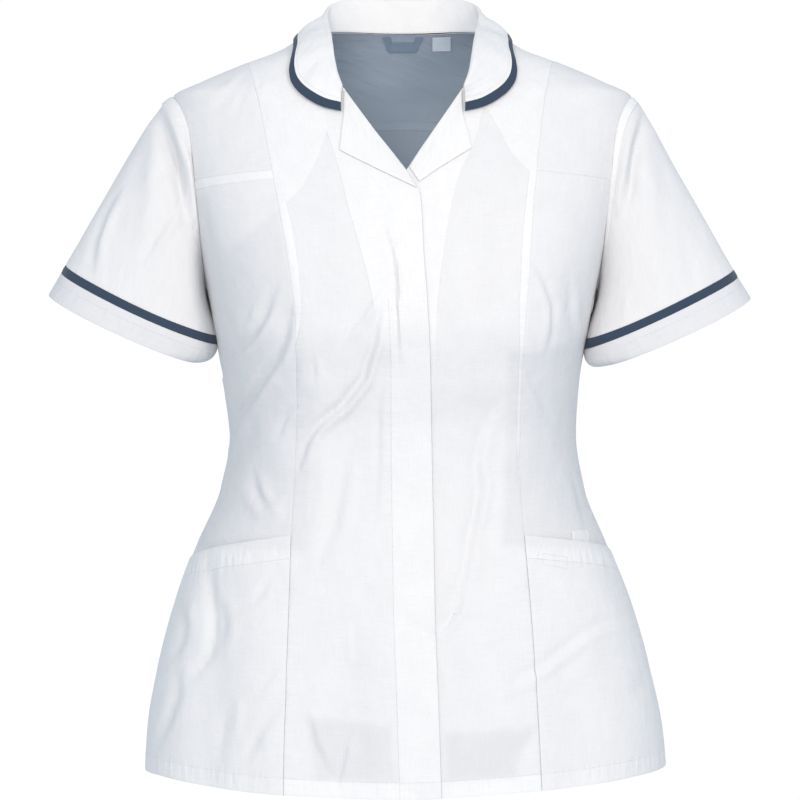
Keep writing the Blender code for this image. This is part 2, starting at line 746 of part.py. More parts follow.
def sheet_normals(grid):
    across = np.gradient(grid, axis=1)
    along = np.gradient(grid, axis=0)
    return unit(np.cross(across, along))


def collar_pieces():
    grid = collar_grid()
    half = sheet_normals(grid) * COLLAR_WALL / 2
    along = unit(np.gradient(grid[-2], axis=0))
    last = grid[-1] - grid[-2]
    across = last - np.sum(last * along, axis=1, keepdims=True) * along
    gap = unit(across) * SEAM_GAP * 0.9
    collar = np.concatenate([grid[:-2], (grid[-2] - gap)[None]])
    solid_from("collar", collar + half[:-1], collar - half[:-1], WHITE)
    trim = np.stack([grid[-2] + gap, grid[-1]])
    solid_from("collar_trim", trim + half[-2:], trim - half[-2:], NAVY)


# Lapels, as the turned-out part shows: outer edge from the gorge down, and the roll line and
# lower edge to the tip. x to the wearer's own side, and height.
LAPEL_OUTER_RIGHT = ((53.6, -23.5), (54.2, -47.0), (57.6, -81.0))
LAPEL_OUTER_LEFT = ((53.6, -23.5), (54.4, -47.0), (62.5, -79.0))
LAPEL_LOWER_RIGHT = ((57.6, -81.0), (20.9, -100.8), (-12.2, -117.2))
LAPEL_LOWER_LEFT = ((62.5, -79.0), (33.5, -97.5), (14.5, -110.5))
LAPEL_ROLL_RIGHT = ((53.6, -23.5), (25.4, -63.7), (-2.4, -100.4), (-11.6, -115.0))
LAPEL_ROLL_LEFT = ((53.6, -23.5), (29.2, -60.5), (5.6, -97.0))
LAPEL_ROWS, LAPEL_COLUMNS = 8, 5


def lapel(side):
    right = side == RIGHT
    outer = LAPEL_OUTER_RIGHT if right else LAPEL_OUTER_LEFT
    lower = LAPEL_LOWER_RIGHT if right else LAPEL_LOWER_LEFT
    roll = LAPEL_ROLL_RIGHT if right else LAPEL_ROLL_LEFT

    def run(rows, count):
        return evenly([(angle_of(x, z, side), z) for x, z in rows], count)

    roll_run, lower_run = run(roll, LAPEL_ROWS), run(lower, LAPEL_ROWS)
    outer_run = run(outer, LAPEL_COLUMNS)
    tip = evenly([roll_run[-1], lower_run[-1]], LAPEL_COLUMNS)
    return patch(roll_run, lower_run, outer_run, tip)


def pocket_lift(places):
    """A pocket lies close at its seams and stands off in the middle of its mouth."""
    rows, columns = places.shape[:2]
    across = np.sin(np.linspace(0, math.pi, columns))[None, :] ** 1.4
    upward = np.linspace(0.15, 1.0, rows)[:, None] ** 1.5
    return WALL + POCKET_GAP + 3.4 * across * upward


# Pen pocket behind the mouth of the left pocket: x and height of its corners.
PEN_LEFT, PEN_RIGHT, PEN_TOP, PEN_BOTTOM = 154.5, 171.0, -428.5, -462.0
PEN_WALL = 1.0


def pen_pocket():
    heights = np.linspace(PEN_BOTTOM, PEN_TOP, 4)
    grid = [
        [(float(angle_of(x, z, LEFT)), z) for x in np.linspace(PEN_LEFT, PEN_RIGHT, 4)]
        for z in heights
    ]
    return np.array(grid)


# Hanger loop and size tab inside the back neck: half width, or x, against height.
LOOP_TOP, LOOP_HOLE, LOOP_BOTTOM = 39.6, 35.0, 26.6
LOOP_HALF_TOP, LOOP_HALF_BOTTOM, LOOP_HALF_HOLE = 19.7, 13.2, 11.6
TAB_FIRST, TAB_LAST, TAB_TOP, TAB_BOTTOM = 28.7, 46.2, 39.4, 27.4
TAPE_WALL = 1.0
INSIDE_GAP = 0.6


def inside_point(x, height, depth):
    angle = 180 - float(angle_of(x, height, LEFT))
    return ring_point(angle, height) - ring_normal(angle, height) * depth


def inside_piece(name, grid, colour):
    """A small piece against the inside of the back yoke."""
    near = WALL + INSIDE_GAP
    outer = np.array([[inside_point(x, z, near) for x, z in row] for row in grid])
    inner = np.array([[inside_point(x, z, near + TAPE_WALL) for x, z in row] for row in grid])
    solid_from(name, outer, inner, colour)


def hanger_loop():
    """A tape that goes down from the neck seam, across and up again."""
    middle = (LOOP_HALF_TOP + LOOP_HALF_BOTTOM) / 2
    half = [
        ((LOOP_HALF_TOP, LOOP_TOP), (LOOP_HALF_HOLE, LOOP_TOP)),
        ((middle, (LOOP_TOP + LOOP_BOTTOM) / 2), (LOOP_HALF_HOLE, (LOOP_TOP + LOOP_HOLE) / 2)),
        ((LOOP_HALF_BOTTOM, LOOP_BOTTOM), (LOOP_HALF_HOLE, LOOP_HOLE)),
        ((LOOP_HALF_BOTTOM / 2, LOOP_BOTTOM), (LOOP_HALF_HOLE / 2, LOOP_HOLE)),
    ]
    other = [tuple((-x, z) for x, z in row) for row in reversed(half)]
    inside_piece("hanger_loop", half + [((0, LOOP_BOTTOM), (0, LOOP_HOLE))] + other, SLATE)


def size_tab():
    xs = np.linspace(TAB_FIRST, TAB_LAST, 4)
    heights = np.linspace(TAB_BOTTOM, TAB_TOP, 4)
    inside_piece("size_tab", [[(x, z) for x in xs] for z in heights], GREY)


def build():
    for side, word in ((RIGHT, "right"), (LEFT, "left")):
        places = front(side)
        body_piece("front_" + word, places, overlap_lift(places, side))
        body_piece("side_front_" + word, side_front(side))
        body_piece("front_yoke_" + word, front_yoke(side))
        places = lapel(side)
        lift = overlap_lift(places, side) + WALL + LAPEL_GAP
        body_piece("lapel_" + word, places, lift, gap=0.0)
        places = side_front(side)[: POCKET_STEPS + 1]
        body_piece("pocket_" + word, places, pocket_lift(places), gap=0.4)
        sleeve_pieces(side, word)
    body_piece("back", back())
    body_piece("back_yoke", back_yoke())
    body_piece("pen_pocket", pen_pocket(), PEN_WALL + LAYER_GAP, PEN_WALL, gap=0.0)
    collar_pieces()
    hanger_loop()
    size_tab()


for stale in list(bpy.data.objects):
    bpy.data.objects.remove(stale, do_unlink=True)
tunic = bpy.data.collections.new("work_tunic")
bpy.context.scene.collection.children.link(tunic)
build()
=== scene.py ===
"""Dresses the work tunic: fine cloth shells on the CAD pieces, stitching, light and camera.

The body, seam, sleeve and collar tables are those of the part's source, in millimetres, cut
into finer steps, with thinner walls and closer seams. Fold tables that only the render needs
follow them. Each cloth piece stands for the CAD node of its name.
"""

import math

import bpy
import numpy as np
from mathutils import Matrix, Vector


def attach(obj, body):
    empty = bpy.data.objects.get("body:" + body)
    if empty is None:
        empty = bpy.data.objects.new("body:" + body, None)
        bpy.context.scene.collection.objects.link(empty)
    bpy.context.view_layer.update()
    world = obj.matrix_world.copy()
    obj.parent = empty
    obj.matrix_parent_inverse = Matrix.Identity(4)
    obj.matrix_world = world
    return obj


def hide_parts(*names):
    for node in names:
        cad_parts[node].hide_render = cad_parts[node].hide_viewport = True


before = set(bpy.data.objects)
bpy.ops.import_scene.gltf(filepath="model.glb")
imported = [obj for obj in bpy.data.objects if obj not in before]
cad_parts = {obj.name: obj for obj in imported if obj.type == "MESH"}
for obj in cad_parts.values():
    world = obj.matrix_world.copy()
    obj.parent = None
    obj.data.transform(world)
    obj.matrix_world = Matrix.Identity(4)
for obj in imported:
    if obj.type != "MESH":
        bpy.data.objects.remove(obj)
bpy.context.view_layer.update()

MM = 0.001
WALL = 0.7
TRIM_WALL = 0.6
SEAM_GAP = 0.1
LAYER_GAP = 0.5
POCKET_GAP = 0.2
LAPEL_GAP = 0.9
RIGHT, LEFT = -1, 1


def hermite(t, first, first_slope, last, last_slope):
    """A smooth step from the first value to the last, with the slope that each end has."""
    return (
        (1 + 2 * t) * (1 - t) ** 2 * first
        + t * (1 - t) ** 2 * first_slope
        + t * t * (3 - 2 * t) * last
        + t * t * (t - 1) * last_slope
    )


class Curve:
    """A smooth line through rows of a table that never swings past them."""

    def __init__(self, places, values):
        order = np.argsort(places)
        self.places = np.array(places, float)[order]
        self.values = np.array(values, float)[order]
        slopes = np.diff(self.values) / np.diff(self.places)
        before, after = slopes[:-1], slopes[1:]
        same = before * after > 0
        bends = np.where(same, 2 * before * after / np.where(same, before + after, 1), 0.0)
        self.bends = np.concatenate([[slopes[0]], bends, [slopes[-1]]])

    def __call__(self, place):
        place = np.clip(place, self.places[0], self.places[-1])
        row = np.clip(np.searchsorted(self.places, place) - 1, 0, len(self.places) - 2)
        step = self.places[row + 1] - self.places[row]
        t = (place - self.places[row]) / step
        first, last = self.values[row], self.values[row + 1]
        return hermite(t, first, step * self.bends[row], last, step * self.bends[row + 1])


def column_curves(rows):
    """One curve for each column of a table, against its first column."""
    columns = list(zip(*rows))
    return [Curve(columns[0], column) for column in columns[1:]]


# Body rings: height, half width on the wearer's right and left, depth of front and back,
# and how full the corners of front and back are.
RINGS = (
    (-680, 242.5, 247.5, 141, 129, 0.16, 0.12),
    (-620, 239.5, 243.5, 138, 127, 0.16, 0.12),
    (-560, 230.0, 231.5, 135, 126, 0.16, 0.12),
    (-500, 214.0, 214.0, 130, 121, 0.16, 0.12),
    (-440, 192.0, 190.0, 124, 111, 0.18, 0.12),
    (-390, 171.5, 170.0, 120, 101, 0.20, 0.14),
    (-340, 164.5, 162.5, 123, 95, 0.26, 0.16),
    (-290, 169.0, 165.0, 137, 100, 0.34, 0.20),
    (-240, 177.5, 174.0, 149, 109, 0.40, 0.24),
    (-195, 186.0, 184.0, 147, 113, 0.40, 0.28),
    (-150, 196.0, 195.0, 135, 114, 0.34, 0.30),
    (-100, 208.0, 207.0, 116, 111, 0.26, 0.28),
    (-60, 214.0, 213.0, 97, 104, 0.18, 0.22),
    (-24, 216.0, 215.0, 79, 94, 0.12, 0.16),
    (-9, 187.0, 187.0, 71, 88, 0.12, 0.14),
    (6, 152.0, 152.0, 63, 83, 0.10, 0.12),
    (20, 114.0, 114.0, 53, 76, 0.08, 0.10),
    (28, 100.0, 100.0, 46, 71, 0.06, 0.08),
    (36, 80.0, 80.0, 38, 66, 0.04, 0.06),
    (43, 64.0, 64.0, 32, 61, 0.04, 0.06),
)
*HALVES, DEPTH_FRONT, DEPTH_BACK, FULL_FRONT, FULL_BACK = column_curves(RINGS)
HALF = dict(zip((RIGHT, LEFT), HALVES))

# Large folds: the face they lie on (-1 front, 1 back), the line they run along (x1, z1, x2, z2),
# half width and height. A trough has a height below zero.
FOLDS = (
    (-1, -112, -235, -162, -356, 20, -3.5),
    (-1, -24, -282, -50, -346, 20, -2.5),
    (-1, 70, -320, 66, -430, 20, -2.5),
    (-1, 66, -430, 34, -530, 20, -2.0),
    (-1, -165, -490, -182, -650, 22, -4.5),
    (-1, -128, -520, -112, -660, 24, 2.5),
    (-1, 150, -560, 158, -652, 22, -3.0),
    (-1, 60, -560, 66, -660, 28, -2.5),
    (-1, -52, -560, -56, -664, 28, -2.5),
    (1, -60, -300, -120, -400, 24, -3.5),
    (1, 60, -300, 120, -400, 24, -3.5),
    (1, 0, -300, 0, -380, 30, -3.0),
    (1, -95, -500, -110, -652, 30, -4.0),
    (1, 95, -500, 110, -652, 30, -4.0),
    (1, 0, -520, 0, -654, 32, 2.5),
)

# Hem height against angle, all the way round.
HEM = (
    (-90, -654.5), (-72, -654.5), (-48, -660.0), (-27, -665.0), (0, -668.0), (25, -663.0),
    (46, -657.5), (62, -653.0), (90, -650.0), (130, -653.0), (180, -655.0), (230, -654.0),
    (270, -654.5),
)
HEM_LOWEST = -668.0
HEM_HEIGHT = Curve(*zip(*HEM))

# Panel seam from hem to shoulder: height and distance from the middle, wearer's right and left.
PRINCESS = (
    (-680, 107.5, 126.5),
    (-650, 107.4, 125.0),
    (-580, 105.8, 121.5),
    (-490, 103.3, 115.1),
    (-432, 101.8, 110.5),
    (-363, 98.3, 106.4),
    (-308, 96.0, 107.0),
    (-245, 97.2, 110.2),
    (-191, 102.7, 114.3),
    (-141, 111.4, 117.8),
    (-99, 119.3, 121.9),
    (-70, 125.3, 125.2),
    (-32, 133.4, 130.5),
    (2, 143.3, 138.0),
    (20, 150.0, 145.0),
)
PRINCESS_X = dict(zip((RIGHT, LEFT), column_curves(PRINCESS)))

# Free edge of the overlapping right front, below the turned-back lapel.
PLACKET = (
    (-680, 35.0), (-569, 31.4), (-500, 28.8), (-428, 27.5), (-369, 26.2), (-317, 25.2),
    (-265, 24.1), (-214, 21.4), (-179, 18.7), (-128, 16.2), (-118.5, 14.4),
)
PLACKET_TOP = -118.5
PLACKET_X = Curve(*zip(*PLACKET))
UNDERLAP_X = -14.0
UNDERLAP_TOP = -124.0
OVERLAP_RISE = 1.1

# x where the right front starts to rise and where it has risen, then how far beyond its edge
# the left front has sunk and where it starts to.
RISES_FROM, RISEN_AT, SUNK_AT, SINKS_FROM = -50, -22, 8, 32

# Lapel roll line and neck seam of the fronts: x to the wearer's own side, and height.
ROLL = {
    RIGHT: ((-14.4, -118.5), (-2.6, -99.9), (25.6, -63.2), (54.0, -22.0)),
    LEFT: ((-14.0, -124.0), (2.6, -99.9), (29.0, -60.0), (54.0, -22.0)),
}
NECK_FRONT = (
    (54.0, -22.0), (62.0, -14.0), (68.0, -3.0), (71.0, 10.0), (72.5, 21.0), (74.5, 29.0),
    (77.5, 33.5), (80.0, 36.0),
)
NECK_BACK = ((90, 36.0), (102, 38.6), (118, 40.6), (138, 41.8), (180, 42.0))
NECK_BACK_HEIGHT = Curve(*zip(*NECK_BACK))

ARMHOLE_MIDDLE, ARMHOLE_RISE, ARMHOLE_REACH = -114.0, 90.0, 52.0
FRONT_YOKE_TURN, BACK_YOKE_TURN = 84.5, 40.5
YOKE_AT_PRINCESS = -99.0
BACK_YOKE_MIDDLE = -38.0
POCKET_TOP_INNER = -431.0
POCKET_TOP_OUTER = {RIGHT: -458.5, LEFT: -450.5}

# How many steps each seam is cut into. Two pieces at a seam share its points.
POCKET_STEPS, SIDE_STEPS, ARMHOLE_STEPS = 72, 80, 44
YOKE_STEPS, YOKE_COLUMNS, FRONT_COLUMNS = 40, 52, 60
BACK_ARMHOLE_STEPS, BACK_YOKE_STEPS, BACK_COLUMNS = 44, 20, 150
ROLL_STEPS, NECK_STEPS = 34, 42
# Turn in degrees and height that a normal is measured over, and how softly a face ends.
NUDGE_TURN, NUDGE_UP, FACE_FADE = 0.4, 0.6, 8


def unit(vectors):
    return vectors / np.linalg.norm(vectors, axis=-1, keepdims=True)


def depth_and_fullness(height, in_front):
    depth = np.where(in_front, DEPTH_FRONT(height), DEPTH_BACK(height))
    return depth, np.where(in_front, FULL_FRONT(height), FULL_BACK(height))


def ring_point(angle, height):
    """The bare form of the body, before folds."""
    angle, height = np.broadcast_arrays(np.asarray(angle, float), np.asarray(height, float))
    across, ahead = np.sin(np.radians(angle)), np.cos(np.radians(angle))
    half = np.where(across < 0, HALF[RIGHT](height), HALF[LEFT](height))
    depth, full = depth_and_fullness(height, ahead >= 0)
    return np.stack([half * across, -depth * ahead * (1 + full * across**2), height], -1)


def ring_normal(angle, height):
    around = ring_point(angle + NUDGE_TURN, height) - ring_point(angle - NUDGE_TURN, height)
    along = ring_point(angle, height + NUDGE_UP) - ring_point(angle, height - NUDGE_UP)
    return unit(np.cross(around, along))


def off_line(places, start, way):
    """How far along a straight piece of line each place lies, as a share, and how far off it."""
    share = np.clip((places - start) @ way / (way @ way), 0, 1)
    return share, places - start - share[..., None] * way


def on_face(face, points):
    """1 in front for face -1 or behind for face 1, fading to 0 round the sides."""
    return 1 / (1 + np.exp(-face * points[..., 1] / FACE_FADE))


def fold_height(points):
    """How far the large folds move the cloth out at these points."""
    total = np.zeros(points.shape[:-1])
    for face, x1, z1, x2, z2, half_width, height in FOLDS:
        _, offset = off_line(points[..., [0, 2]], np.array([x1, z1]), np.array([x2 - x1, z2 - z1]))
        away = np.linalg.norm(offset, axis=-1)
        total += height * on_face(face, points) * np.exp(-((away / half_width) ** 2))
    return total


def body_point(angle, height, lift=0.0):
    """A place on the cloth's outer face, with its folds, moved out by lift."""
    points = ring_point(angle, height)
    rise = fold_height(points) + lift
    return points + ring_normal(angle, height) * rise[..., None]


def angle_of(x, height, side):
    """The angle on the front where the body is x from the middle, on one side."""
    return side * np.degrees(np.arcsin(np.clip(x / HALF[side](height), -1, 1)))


def evenly(places, count):
    """Places (angle, height) cut into equal steps of true length along the cloth."""
    places = np.array(places, float)
    fine = np.concatenate(
        [np.linspace(a, b, 24, endpoint=False) for a, b in zip(places[:-1], places[1:])]
        + [places[-1:]]
    )
    steps = np.linalg.norm(np.diff(ring_point(fine[:, 0], fine[:, 1]), axis=0), axis=1)
    length = np.concatenate([[0], np.cumsum(steps)])
    wanted = np.linspace(0, length[-1], count + 1)
    return np.stack([np.interp(wanted, length, fine[:, k]) for k in (0, 1)], -1)


def side_line(corners, side, count):
    """A line drawn by x to the wearer's own side and height, cut into even steps."""
    return evenly([(angle_of(x, z, side), z) for x, z in corners], count)


def joined(*runs):
    return np.concatenate([runs[0]] + [run[1:] for run in runs[1:]])


def hem_run(first, last, count):
    angles = np.linspace(first, last, 60)
    return evenly(np.stack([angles, HEM_HEIGHT(angles)], -1), count)


def princess_angle(height, side):
    return angle_of(PRINCESS_X[side](height), height, side)


def princess_top(side):
    """Where the panel seam meets the shoulder seam."""
    heights = np.linspace(-20, 20, 4001)
    return heights[np.argmax(HALF[side](heights) <= PRINCESS_X[side](heights))]


def princess_hem(side):
    angle = side * 28.0
    for _ in range(20):
        angle = princess_angle(HEM_HEIGHT(angle), side)
    return float(HEM_HEIGHT(angle))


def princess_run(bottom, top, side, count):
    heights = top - (top - bottom) * np.linspace(1, 0, 90) ** 1.6
    angles = princess_angle(heights, side)
    if top == princess_top(side):
        angles[-1] = side * 90
    return evenly(np.stack([angles, heights], -1), count)


def armhole_place(turn, side):
    """Angle and height on the armhole: turn 0 at the shoulder, 90 in front, 180 at the underarm."""
    turn = np.asarray(turn, float)
    height = ARMHOLE_MIDDLE + ARMHOLE_RISE * np.cos(np.radians(turn))
    reach = ARMHOLE_REACH * np.sin(np.radians(turn))
    depth, full = depth_and_fullness(height, reach >= 0)
    ahead = reach / depth
    for _ in range(30):
        ahead = reach / (depth * (1 + full * (1 - ahead**2)))
    return np.stack([side * np.degrees(np.arccos(ahead)), height], -1)


def armhole_run(first, last, side, count):
    return armhole_place(np.linspace(first, last, count + 1), side)


def side_seam_run(bottom, top, side, count):
    heights = np.linspace(bottom, top, count + 1)
    return np.stack([np.full(count + 1, 90.0 * side), heights], -1)


def patch(first, last, bottom, top):
    """A grid of places between four edges. first and last run up the piece."""
    u = np.linspace(0, 1, len(bottom))[None, :, None]
    v = np.linspace(0, 1, len(first))[:, None, None]
    between = (1 - u) * first[:, None] + u * last[:, None]
    upward = (1 - v) * bottom[None] + v * top[None]
    corners = (1 - v) * ((1 - u) * first[0] + u * last[0])
    corners = corners + v * ((1 - u) * first[-1] + u * last[-1])
    return between + upward - corners


def held_back(points, normals, amount):
    """Each edge of a grid moved into its own piece."""
    moved = points.copy()
    for quarter in range(4):
        out, grid, facing = (np.rot90(part, quarter) for part in (moved, points, normals))
        way = unit(np.cross(np.gradient(grid[0], axis=0), facing[0]))
        inward = np.sign(np.sum(way * (grid[1] - grid[0]), axis=-1, keepdims=True))
        out[0] += way * inward * amount
    return moved


def ease(value, low, high):
    t = np.clip((value - low) / (high - low), 0, 1)
    return t * t * (3 - 2 * t)


def overlap_lift(places, side):
    """The right front rises over the underlap, and the left front sinks below it."""
    points = ring_point(places[..., 0], places[..., 1])
    x, z = points[..., 0], points[..., 2]
    if side == RIGHT:
        return OVERLAP_RISE * ease(x, RISES_FROM, RISEN_AT)
    roll_x, roll_z = zip(*ROLL[RIGHT])
    edge = np.where(z > PLACKET_TOP, -np.interp(z, roll_z, roll_x), PLACKET_X(z))
    return -OVERLAP_RISE * (1 - ease(x - edge, SUNK_AT, SINKS_FROM))


def front_inner_edge(side):
    """From the hem up the front edge, the roll line and the neck seam to the shoulder."""
    below = POCKET_STEPS + SIDE_STEPS + ARMHOLE_STEPS + YOKE_STEPS - ROLL_STEPS - NECK_STEPS
    if side == RIGHT:
        heights = np.linspace(HEM_LOWEST, PLACKET_TOP, 60)
        angles = angle_of(PLACKET_X(heights), heights, LEFT)
    else:
        heights = np.linspace(HEM_LOWEST, UNDERLAP_TOP, 60)
        angles = angle_of(-UNDERLAP_X, heights, RIGHT)
    heights[0] = HEM_HEIGHT(angles[0])
    edge = evenly(np.stack([angles, heights], -1), below)
    neck = side_line(NECK_FRONT, side, NECK_STEPS)
    neck[-1] = (90 * side, NECK_FRONT[-1][1])
    return joined(edge, side_line(ROLL[side], side, ROLL_STEPS), neck)


def shoulder_run(first, last, side, count):
    return evenly(side_seam_run(first, last, side, count), count)


def princess_edge(side):
    """The whole panel seam, in the steps of the pieces beside it."""
    low = princess_run(princess_hem(side), POCKET_TOP_INNER, side, POCKET_STEPS)
    steps = SIDE_STEPS + ARMHOLE_STEPS
    middle = princess_run(POCKET_TOP_INNER, YOKE_AT_PRINCESS, side, steps)
    high = princess_run(YOKE_AT_PRINCESS, princess_top(side), side, YOKE_STEPS)
    return low, middle, high


def front(side):
    edge = joined(*princess_edge(side))
    inner = front_inner_edge(side)
    bottom = hem_run(edge[0, 0], inner[0, 0], FRONT_COLUMNS)
    top = shoulder_run(princess_top(side), NECK_FRONT[-1][1], side, FRONT_COLUMNS)
    bottom[0], bottom[-1], top[0], top[-1] = edge[0], inner[0], edge[-1], inner[-1]
    return patch(edge, inner, bottom, top)


def pocket_line(side, count):
    low, _, _ = princess_edge(side)
    return evenly([low[-1], (90 * side, POCKET_TOP_OUTER[side])], count)


def side_front(side):
    """Two patches one above the other, so that a row lies along the pocket's top."""
    low, middle, _ = princess_edge(side)
    hem_corner = float(HEM_HEIGHT(90 * side))
    underarm = ARMHOLE_MIDDLE - ARMHOLE_RISE
    line = pocket_line(side, YOKE_COLUMNS)
    pocket_top = POCKET_TOP_OUTER[side]
    outer_low = side_seam_run(hem_corner, pocket_top, side, POCKET_STEPS)
    bottom = hem_run(low[0, 0], 90 * side, YOKE_COLUMNS)
    bottom[0] = low[0]
    lower = patch(low, outer_low, bottom, line)
    outer = joined(
        side_seam_run(pocket_top, underarm, side, SIDE_STEPS),
        armhole_run(180, FRONT_YOKE_TURN, side, ARMHOLE_STEPS),
    )
    upper = patch(middle, outer, line, yoke_line(side))
    return np.concatenate([lower, upper[1:]])


def yoke_line(side):
    _, middle, _ = princess_edge(side)
    return evenly([middle[-1], armhole_place(FRONT_YOKE_TURN, side)], YOKE_COLUMNS)


def front_yoke(side):
    _, _, high = princess_edge(side)
    outer = armhole_run(FRONT_YOKE_TURN, 0, side, YOKE_STEPS)
    shoulder = shoulder_run(high[-1, 1], outer[-1, 1], side, YOKE_COLUMNS)
    shoulder[0], shoulder[-1] = high[-1], outer[-1]
    return patch(high, outer, yoke_line(side), shoulder)


def round_the_back(places):
    """Angles carried on past 180, so that the back is one run from left to right."""
    places = places.copy()
    places[:, 0] = np.mod(places[:, 0], 360)
    return places


def back_yoke_line():
    left = armhole_place(-BACK_YOKE_TURN, LEFT)
    right = round_the_back(armhole_place(-BACK_YOKE_TURN, RIGHT)[None])[0]
    return evenly([left, (180, BACK_YOKE_MIDDLE), right], BACK_COLUMNS)


def back_side_edge(side):
    hem_corner, pocket_top = float(HEM_HEIGHT(90 * side)), POCKET_TOP_OUTER[side]
    run = joined(
        side_seam_run(hem_corner, pocket_top, side, POCKET_STEPS),
        side_seam_run(pocket_top, ARMHOLE_MIDDLE - ARMHOLE_RISE, side, SIDE_STEPS),
        armhole_run(-180, -BACK_YOKE_TURN, side, BACK_ARMHOLE_STEPS),
    )
    return round_the_back(run)


def back():
    bottom = hem_run(90, 270, BACK_COLUMNS)
    return patch(back_side_edge(LEFT), back_side_edge(RIGHT), bottom, back_yoke_line())


def back_yoke_side_edge(side):
    """Up the armhole to the shoulder, then along both shoulder seams to the neck."""
    armhole = armhole_run(-BACK_YOKE_TURN, 0, side, BACK_YOKE_STEPS)
    over_yoke = front_yoke(side)[-1][::-1]
    over_front = front(side)[-1]
    return round_the_back(joined(armhole, over_yoke, over_front))


def back_yoke():
    angles = np.linspace(90, 270, 91)
    mirrored = 180 - np.abs(180 - angles)
    neck = np.stack([angles, NECK_BACK_HEIGHT(mirrored)], -1)
    top = evenly(neck, BACK_COLUMNS)
    first, last = back_yoke_side_edge(LEFT), back_yoke_side_edge(RIGHT)
    top[0], top[-1] = first[-1], last[-1]
    return patch(first, last, back_yoke_line(), top)


# Sleeve: the hem ring is a flat oval. Its long way runs from the outer corner of the sleeve
# down and in to the corner beside the body, and that corner lies further ahead.
CUFF_MIDDLE = (262.5, -10.0, -242.3)
CUFF_LONG_WAY = (0.908, 0.0, 0.419)
CUFF_OUTWARD = {RIGHT: 1.8, LEFT: -3.0}
CUFF_HALF_LONG = {RIGHT: 74.8, LEFT: 73.5}
CUFF_HALF_DEEP, CUFF_DIP, CUFF_INNER_AHEAD = 52.0, 6.8, 20.0
CUFF_DOWN_WAY = (0.419, 0.0, -0.908)
CUFF_BAND, TRIM_BAND = 24.5, 8.0
SLEEVE_STEPS, CUFF_STEPS = 64, 12
SLEEVE_ON_BODY = -0.15
BAND_GAP = 0.1

# How far the sleeve bows out of its straight lines: turn, then near its head, half way down
# and near its band on the wearer's right, and the same three on the left.
SLEEVE_BOW = (
    (0, 9.0, 3.0, 0.0, 7.0, -1.5, 0.0),
    (50, 5.0, 5.5, 0.0, 5.0, 4.0, 0.0),
    (90, 1.0, 7.0, 0.0, 1.0, 7.0, 0.0),
    (140, 0.0, 5.0, 3.0, 0.0, 5.0, 5.0),
    (180, 0.0, 0.0, 8.5, 0.0, 0.0, 14.0),
)
BOWS = column_curves(SLEEVE_BOW)
BOW_AT_HEAD, BOW_AT_BAND = 0.5, 3.5
# How far the underarm line leans in to the body above the cuff.
SLEEVE_LEAN, LEAN_AT = {RIGHT: 16.5, LEFT: 15.0}, 1.55


def sleeve_turns():
    """Turns round the armhole that its neighbours use too, from the shoulder by the front."""
    back_yoke_turn = 360 - BACK_YOKE_TURN
    turns = joined(
        np.linspace(0, FRONT_YOKE_TURN, YOKE_STEPS + 1),
        np.linspace(FRONT_YOKE_TURN, 180, ARMHOLE_STEPS + 1),
        np.linspace(180, back_yoke_turn, BACK_ARMHOLE_STEPS + 1),
        np.linspace(back_yoke_turn, 360, BACK_YOKE_STEPS + 1),
    )
    return turns[:-1]


def cuff_point(turn, side):
    across, ahead = np.cos(np.radians(turn)), np.sin(np.radians(turn))
    flip = np.array([side, 1.0, 1.0])
    reach = CUFF_OUTWARD[side] + across * CUFF_HALF_LONG[side]
    ring = np.array(CUFF_MIDDLE) + reach[:, None] * np.array(CUFF_LONG_WAY)
    ring = ring + ahead[:, None] * CUFF_DIP * np.array(CUFF_DOWN_WAY)
    ring[:, 1] -= CUFF_HALF_DEEP * ahead + CUFF_INNER_AHEAD * ((1 - across) / 2) ** 3
    return ring * flip


def sleeve_line(turn, share, side):
    """Points down the sleeve: share 0 at the armhole, 1 at the hem, one row for each share."""
    place = armhole_place(np.where(turn > 180, turn - 360, turn), side)
    facing = ring_normal(place[:, 0], place[:, 1])
    start = body_point(place[:, 0], place[:, 1]) + facing * SLEEVE_ON_BODY
    end = cuff_point(turn, side)
    middle = (start + end) / 2
    outward = unit(middle - middle.mean(axis=0))
    bows = BOWS[:3] if side == RIGHT else BOWS[3:]
    head, half_way, band = (curve(np.minimum(turn, 360 - turn)) for curve in bows)
    share = np.broadcast_to(np.asarray(share, float), turn.shape)
    bow = head * np.sin(np.pi * share**BOW_AT_HEAD) * (1 - share) ** 2
    bow = bow + half_way * np.sin(np.pi * share) + band * np.sin(np.pi * share**BOW_AT_BAND)
    lean = SLEEVE_LEAN[side] * ((1 - np.cos(np.radians(turn))) / 2) ** 3
    lean = lean * np.sin(np.pi * share**LEAN_AT)
    points = start + (end - start) * share[:, None] + outward * bow[:, None]
    points[:, 0] -= side * lean
    return points, facing


def sleeve_grid(turn, places, side):
    """Rows of points. A place up to 1 is a share of the way from the armhole to the trim, and a
    greater one is a distance up from the hem."""
    whole, facing = sleeve_line(turn, np.zeros(len(turn)), side)
    length = np.linalg.norm(cuff_point(turn, side) - whole, axis=1)
    seam = 1 - (CUFF_BAND + TRIM_BAND + BAND_GAP) / length
    rows = []
    for place in places:
        share = seam * place if place <= 1 else 1 - place / length
        rows.append(sleeve_line(turn, share, side)[0])
    return np.array(rows), facing


def tube_normals(grid):
    around = np.roll(grid, -1, axis=1) - np.roll(grid, 1, axis=1)
    normals = unit(np.cross(around, np.gradient(grid, axis=0)))
    outward = np.sum(normals * (grid - grid.mean(axis=1, keepdims=True)))
    return normals if outward > 0 else -normals


